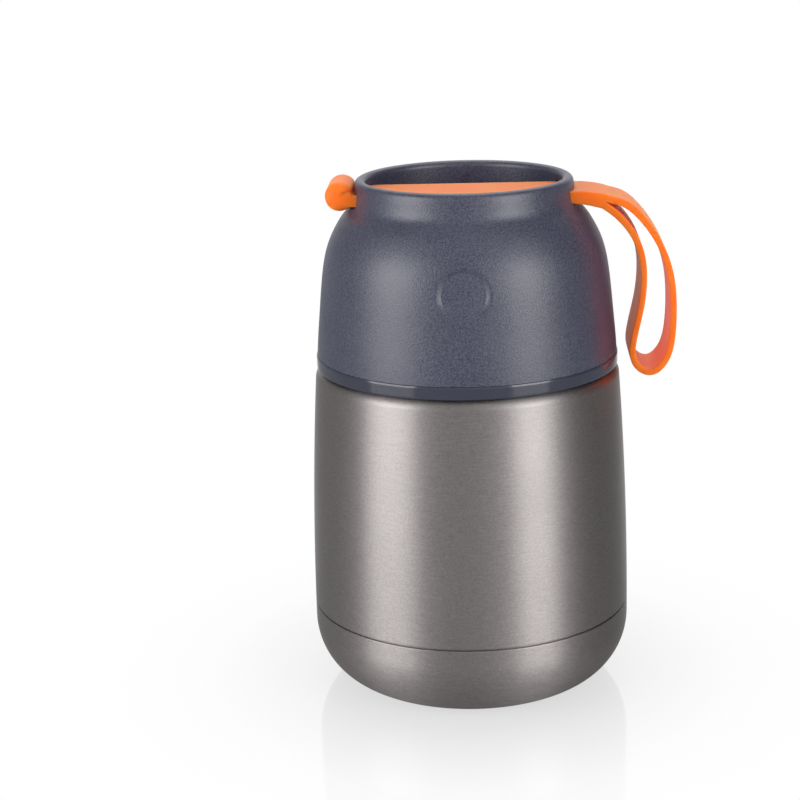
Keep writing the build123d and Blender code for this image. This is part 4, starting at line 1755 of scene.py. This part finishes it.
@dataclass
class Studio:
    """The camera, the pale floor, the bright surroundings and the lamps."""

    camera_place: Corner = (9.0031, -604.8098, 260.5469)
    right: Corner = (0.99871919, 0.04293025, -0.02677627)
    up: Corner = (0.01417232, 0.27066748, 0.96256858)
    forward: Corner = (-0.04857078, 0.96171519, -0.26971238)
    focal_pixels: float = 1972.57
    picture_pixels: float = 800.0
    sensor: float = 36.0
    floor_reach: float = 12.0
    floor_height: float = -0.02
    floor_colour: float = 0.62
    mirrored_floor_colour: float = 0.42
    floor_roughness: Point = (0.05, 0.09)
    floor_wear: float = 8.0
    floor_fresnel: float = 0.42
    shadow_fade: Point = (0.033, 0.09)
    shadow_whiteness: float = 0.75
    reflection_fade: Point = (0.05, 0.13)
    reflection_share: float = 0.95
    white_beyond: Point = (0.7, 1.6)
    sweep_aside: Point = (0.12, 0.20)
    sweep_behind: Point = (0.05, 0.20)
    ambient: float = 0.43
    mirrored_room: tuple[Point, ...] = (
        (-180.0, 1.0), (-160.0, 1.0), (-148.0, 0.36), (-108.0, 0.31), (-72.0, 0.45), (0.0, 0.62),
        (26.0, 0.92), (58.0, 0.62), (76.0, 0.40), (84.0, 0.05), (108.0, 0.08), (144.0, 0.22),
        (154.0, 1.0),
    )
    mirrored_ceiling: float = 0.4
    ceiling_rises: Point = (0.45, 0.95)
    softboxes: tuple[Softbox, ...] = (
        Softbox("left_softbox", -57.0, 15.0, 0.90, (0.59, 0.60), 5.3),
        Softbox("right_softbox", 48.5, 15.0, 0.90, (0.46, 0.60), 5.7),
        Softbox("back_softbox", 178.0, 62.0, 0.95, (0.80, 0.80), 1.7),
    )

    def camera(self) -> None:
        """Set up the camera from its place and its three directions."""
        data = bpy.data.cameras.new("studio_camera")
        data.sensor_width = self.sensor
        data.lens = self.focal_pixels / self.picture_pixels * self.sensor
        data.clip_start, data.clip_end = 0.01, 100.0
        camera = bpy.data.objects.new("studio_camera", data)
        back = [-v for v in self.forward]
        turn = Matrix((self.right, self.up, back)).transposed().to_4x4()
        camera.matrix_world = Matrix.Translation(Vector(self.camera_place) * MM) @ turn
        bpy.context.scene.collection.objects.link(camera)
        bpy.context.scene.camera = camera

    def floor(self) -> None:
        """Lay the glossy white floor, which keeps the jar's shadow and a faint reflection."""
        reach, shape = self.floor_reach / MM, Shape()
        ways = ((-1, -1), (1, -1), (1, 1), (-1, 1))
        shape.face(*(shape.point(x * reach, y * reach, self.floor_height) for x, y in ways))
        floor = shape.build("studio_floor")
        m = Wiring(bpy.data.materials.new("floor_white"))
        where = m.place()
        apart = m.node("ShaderNodeVectorMath", {0: where}, operation="LENGTH").outputs["Value"]
        axes = m.node("ShaderNodeSeparateXYZ", {0: where}).outputs
        rays = m.node("ShaderNodeLightPath").outputs
        looked_at = m.math("MAXIMUM", rays["Is Camera Ray"], rays["Is Transmission Ray"])
        shadow = m.spread(apart, self.shadow_whiteness, 1.0, self.shadow_fade)
        near = m.math("MULTIPLY", looked_at, shadow)
        aside = m.spread(m.math("ABSOLUTE", axes["X"]), 1.0, 0.0, self.sweep_aside)
        sweep = m.math("MULTIPLY", aside, m.spread(axes["Y"], 0.0, 1.0, self.sweep_behind))
        far = m.math("MAXIMUM", m.spread(apart, 0.0, 1.0, self.white_beyond), sweep)
        share = m.math("MAXIMUM", near, m.math("MULTIPLY", rays["Is Glossy Ray"], far))
        pale, dim = (self.floor_colour,) * 3, (self.mirrored_floor_colour,) * 3
        colour = m.tint(rays["Is Glossy Ray"], pale, dim)
        matt = m.node("ShaderNodeBsdfDiffuse", {"Color": colour}).outputs[0]
        glow = m.node("ShaderNodeEmission", {"Color": WHITE, "Strength": 1.0}).outputs[0]
        base = m.node("ShaderNodeMixShader", {0: share, 1: matt, 2: glow}).outputs[0]
        rough = m.spread(m.noise(where, self.floor_wear), *self.floor_roughness)
        gloss = m.node("ShaderNodeBsdfGlossy", {"Roughness": rough}).outputs[0]
        edge = m.node("ShaderNodeLayerWeight", {"Blend": self.floor_fresnel}).outputs["Fresnel"]
        reflected = m.spread(apart, self.reflection_share, 0.0, self.reflection_fade)
        close = m.math("MAXIMUM", reflected, rays["Is Glossy Ray"])
        shine = m.math("MULTIPLY", edge, close, clamp=True)
        both = m.node("ShaderNodeMixShader", {0: shine, 1: base, 2: gloss}).outputs[0]
        m.node("ShaderNodeOutputMaterial", {"Surface": both})
        floor.data.materials.append(m.owner)

    def surroundings(self) -> None:
        """Make the room: white where it is seen, with darker flanks for the steel to mirror."""
        world = bpy.data.worlds.new("studio_world")
        bpy.context.scene.world = world
        m = Wiring(world)
        world.cycles.sampling_method = "NONE"
        rays = m.node("ShaderNodeLightPath").outputs
        way = m.node("ShaderNodeTexCoord").outputs["Generated"]
        axes = m.node("ShaderNodeSeparateXYZ", {0: way}).outputs
        forward = m.math("MULTIPLY", axes["Y"], -1.0)
        turn = m.math("DIVIDE", m.math("ARCTAN2", axes["X"], forward), 2 * math.pi)
        ramp = m.node("ShaderNodeValToRGB", {"Fac": m.math("ADD", turn, 0.5)})
        stops = ramp.color_ramp.elements
        stops.remove(stops[1])
        for number, (angle, level) in enumerate(self.mirrored_room):
            at = 0.5 + angle / 360.0
            stop = stops.new(at) if number else stops[0]
            stop.position, stop.color = at, (level, level, level, 1.0)
        height = m.spread(axes["Z"], 0.0, 1.0, self.ceiling_rises)
        ceiling = m.math("MULTIPLY", height, self.mirrored_ceiling)
        mirrored = m.math("MAXIMUM", ramp.outputs["Color"], ceiling)
        level = m.mix(rays["Is Glossy Ray"], self.ambient, mirrored)
        plain = m.math("MAXIMUM", rays["Is Camera Ray"], rays["Is Transmission Ray"])
        inputs = {"Color": WHITE, "Strength": m.mix(plain, level, 1.0)}
        shown = m.node("ShaderNodeBackground", inputs).outputs[0]
        m.node("ShaderNodeOutputWorld", {"Surface": shown})

    def build(self) -> None:
        """Set up the whole studio."""
        self.camera()
        self.floor()
        self.surroundings()
        for box in self.softboxes:
            box.build()
        bpy.context.scene.view_settings.view_transform = "Standard"
        log.info("studio: %d lamps", len(self.softboxes))


def main() -> None:
    """Load the frame and build every piece on it."""
    logging.basicConfig(level=logging.INFO, format="%(message)s")
    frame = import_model()
    SteelBody().build(frame["nodes"])
    Stopper().build(frame["nodes"])
    Lid().build()
    Strap().build()
    Studio().build()


if __name__ == "__main__":
    main()
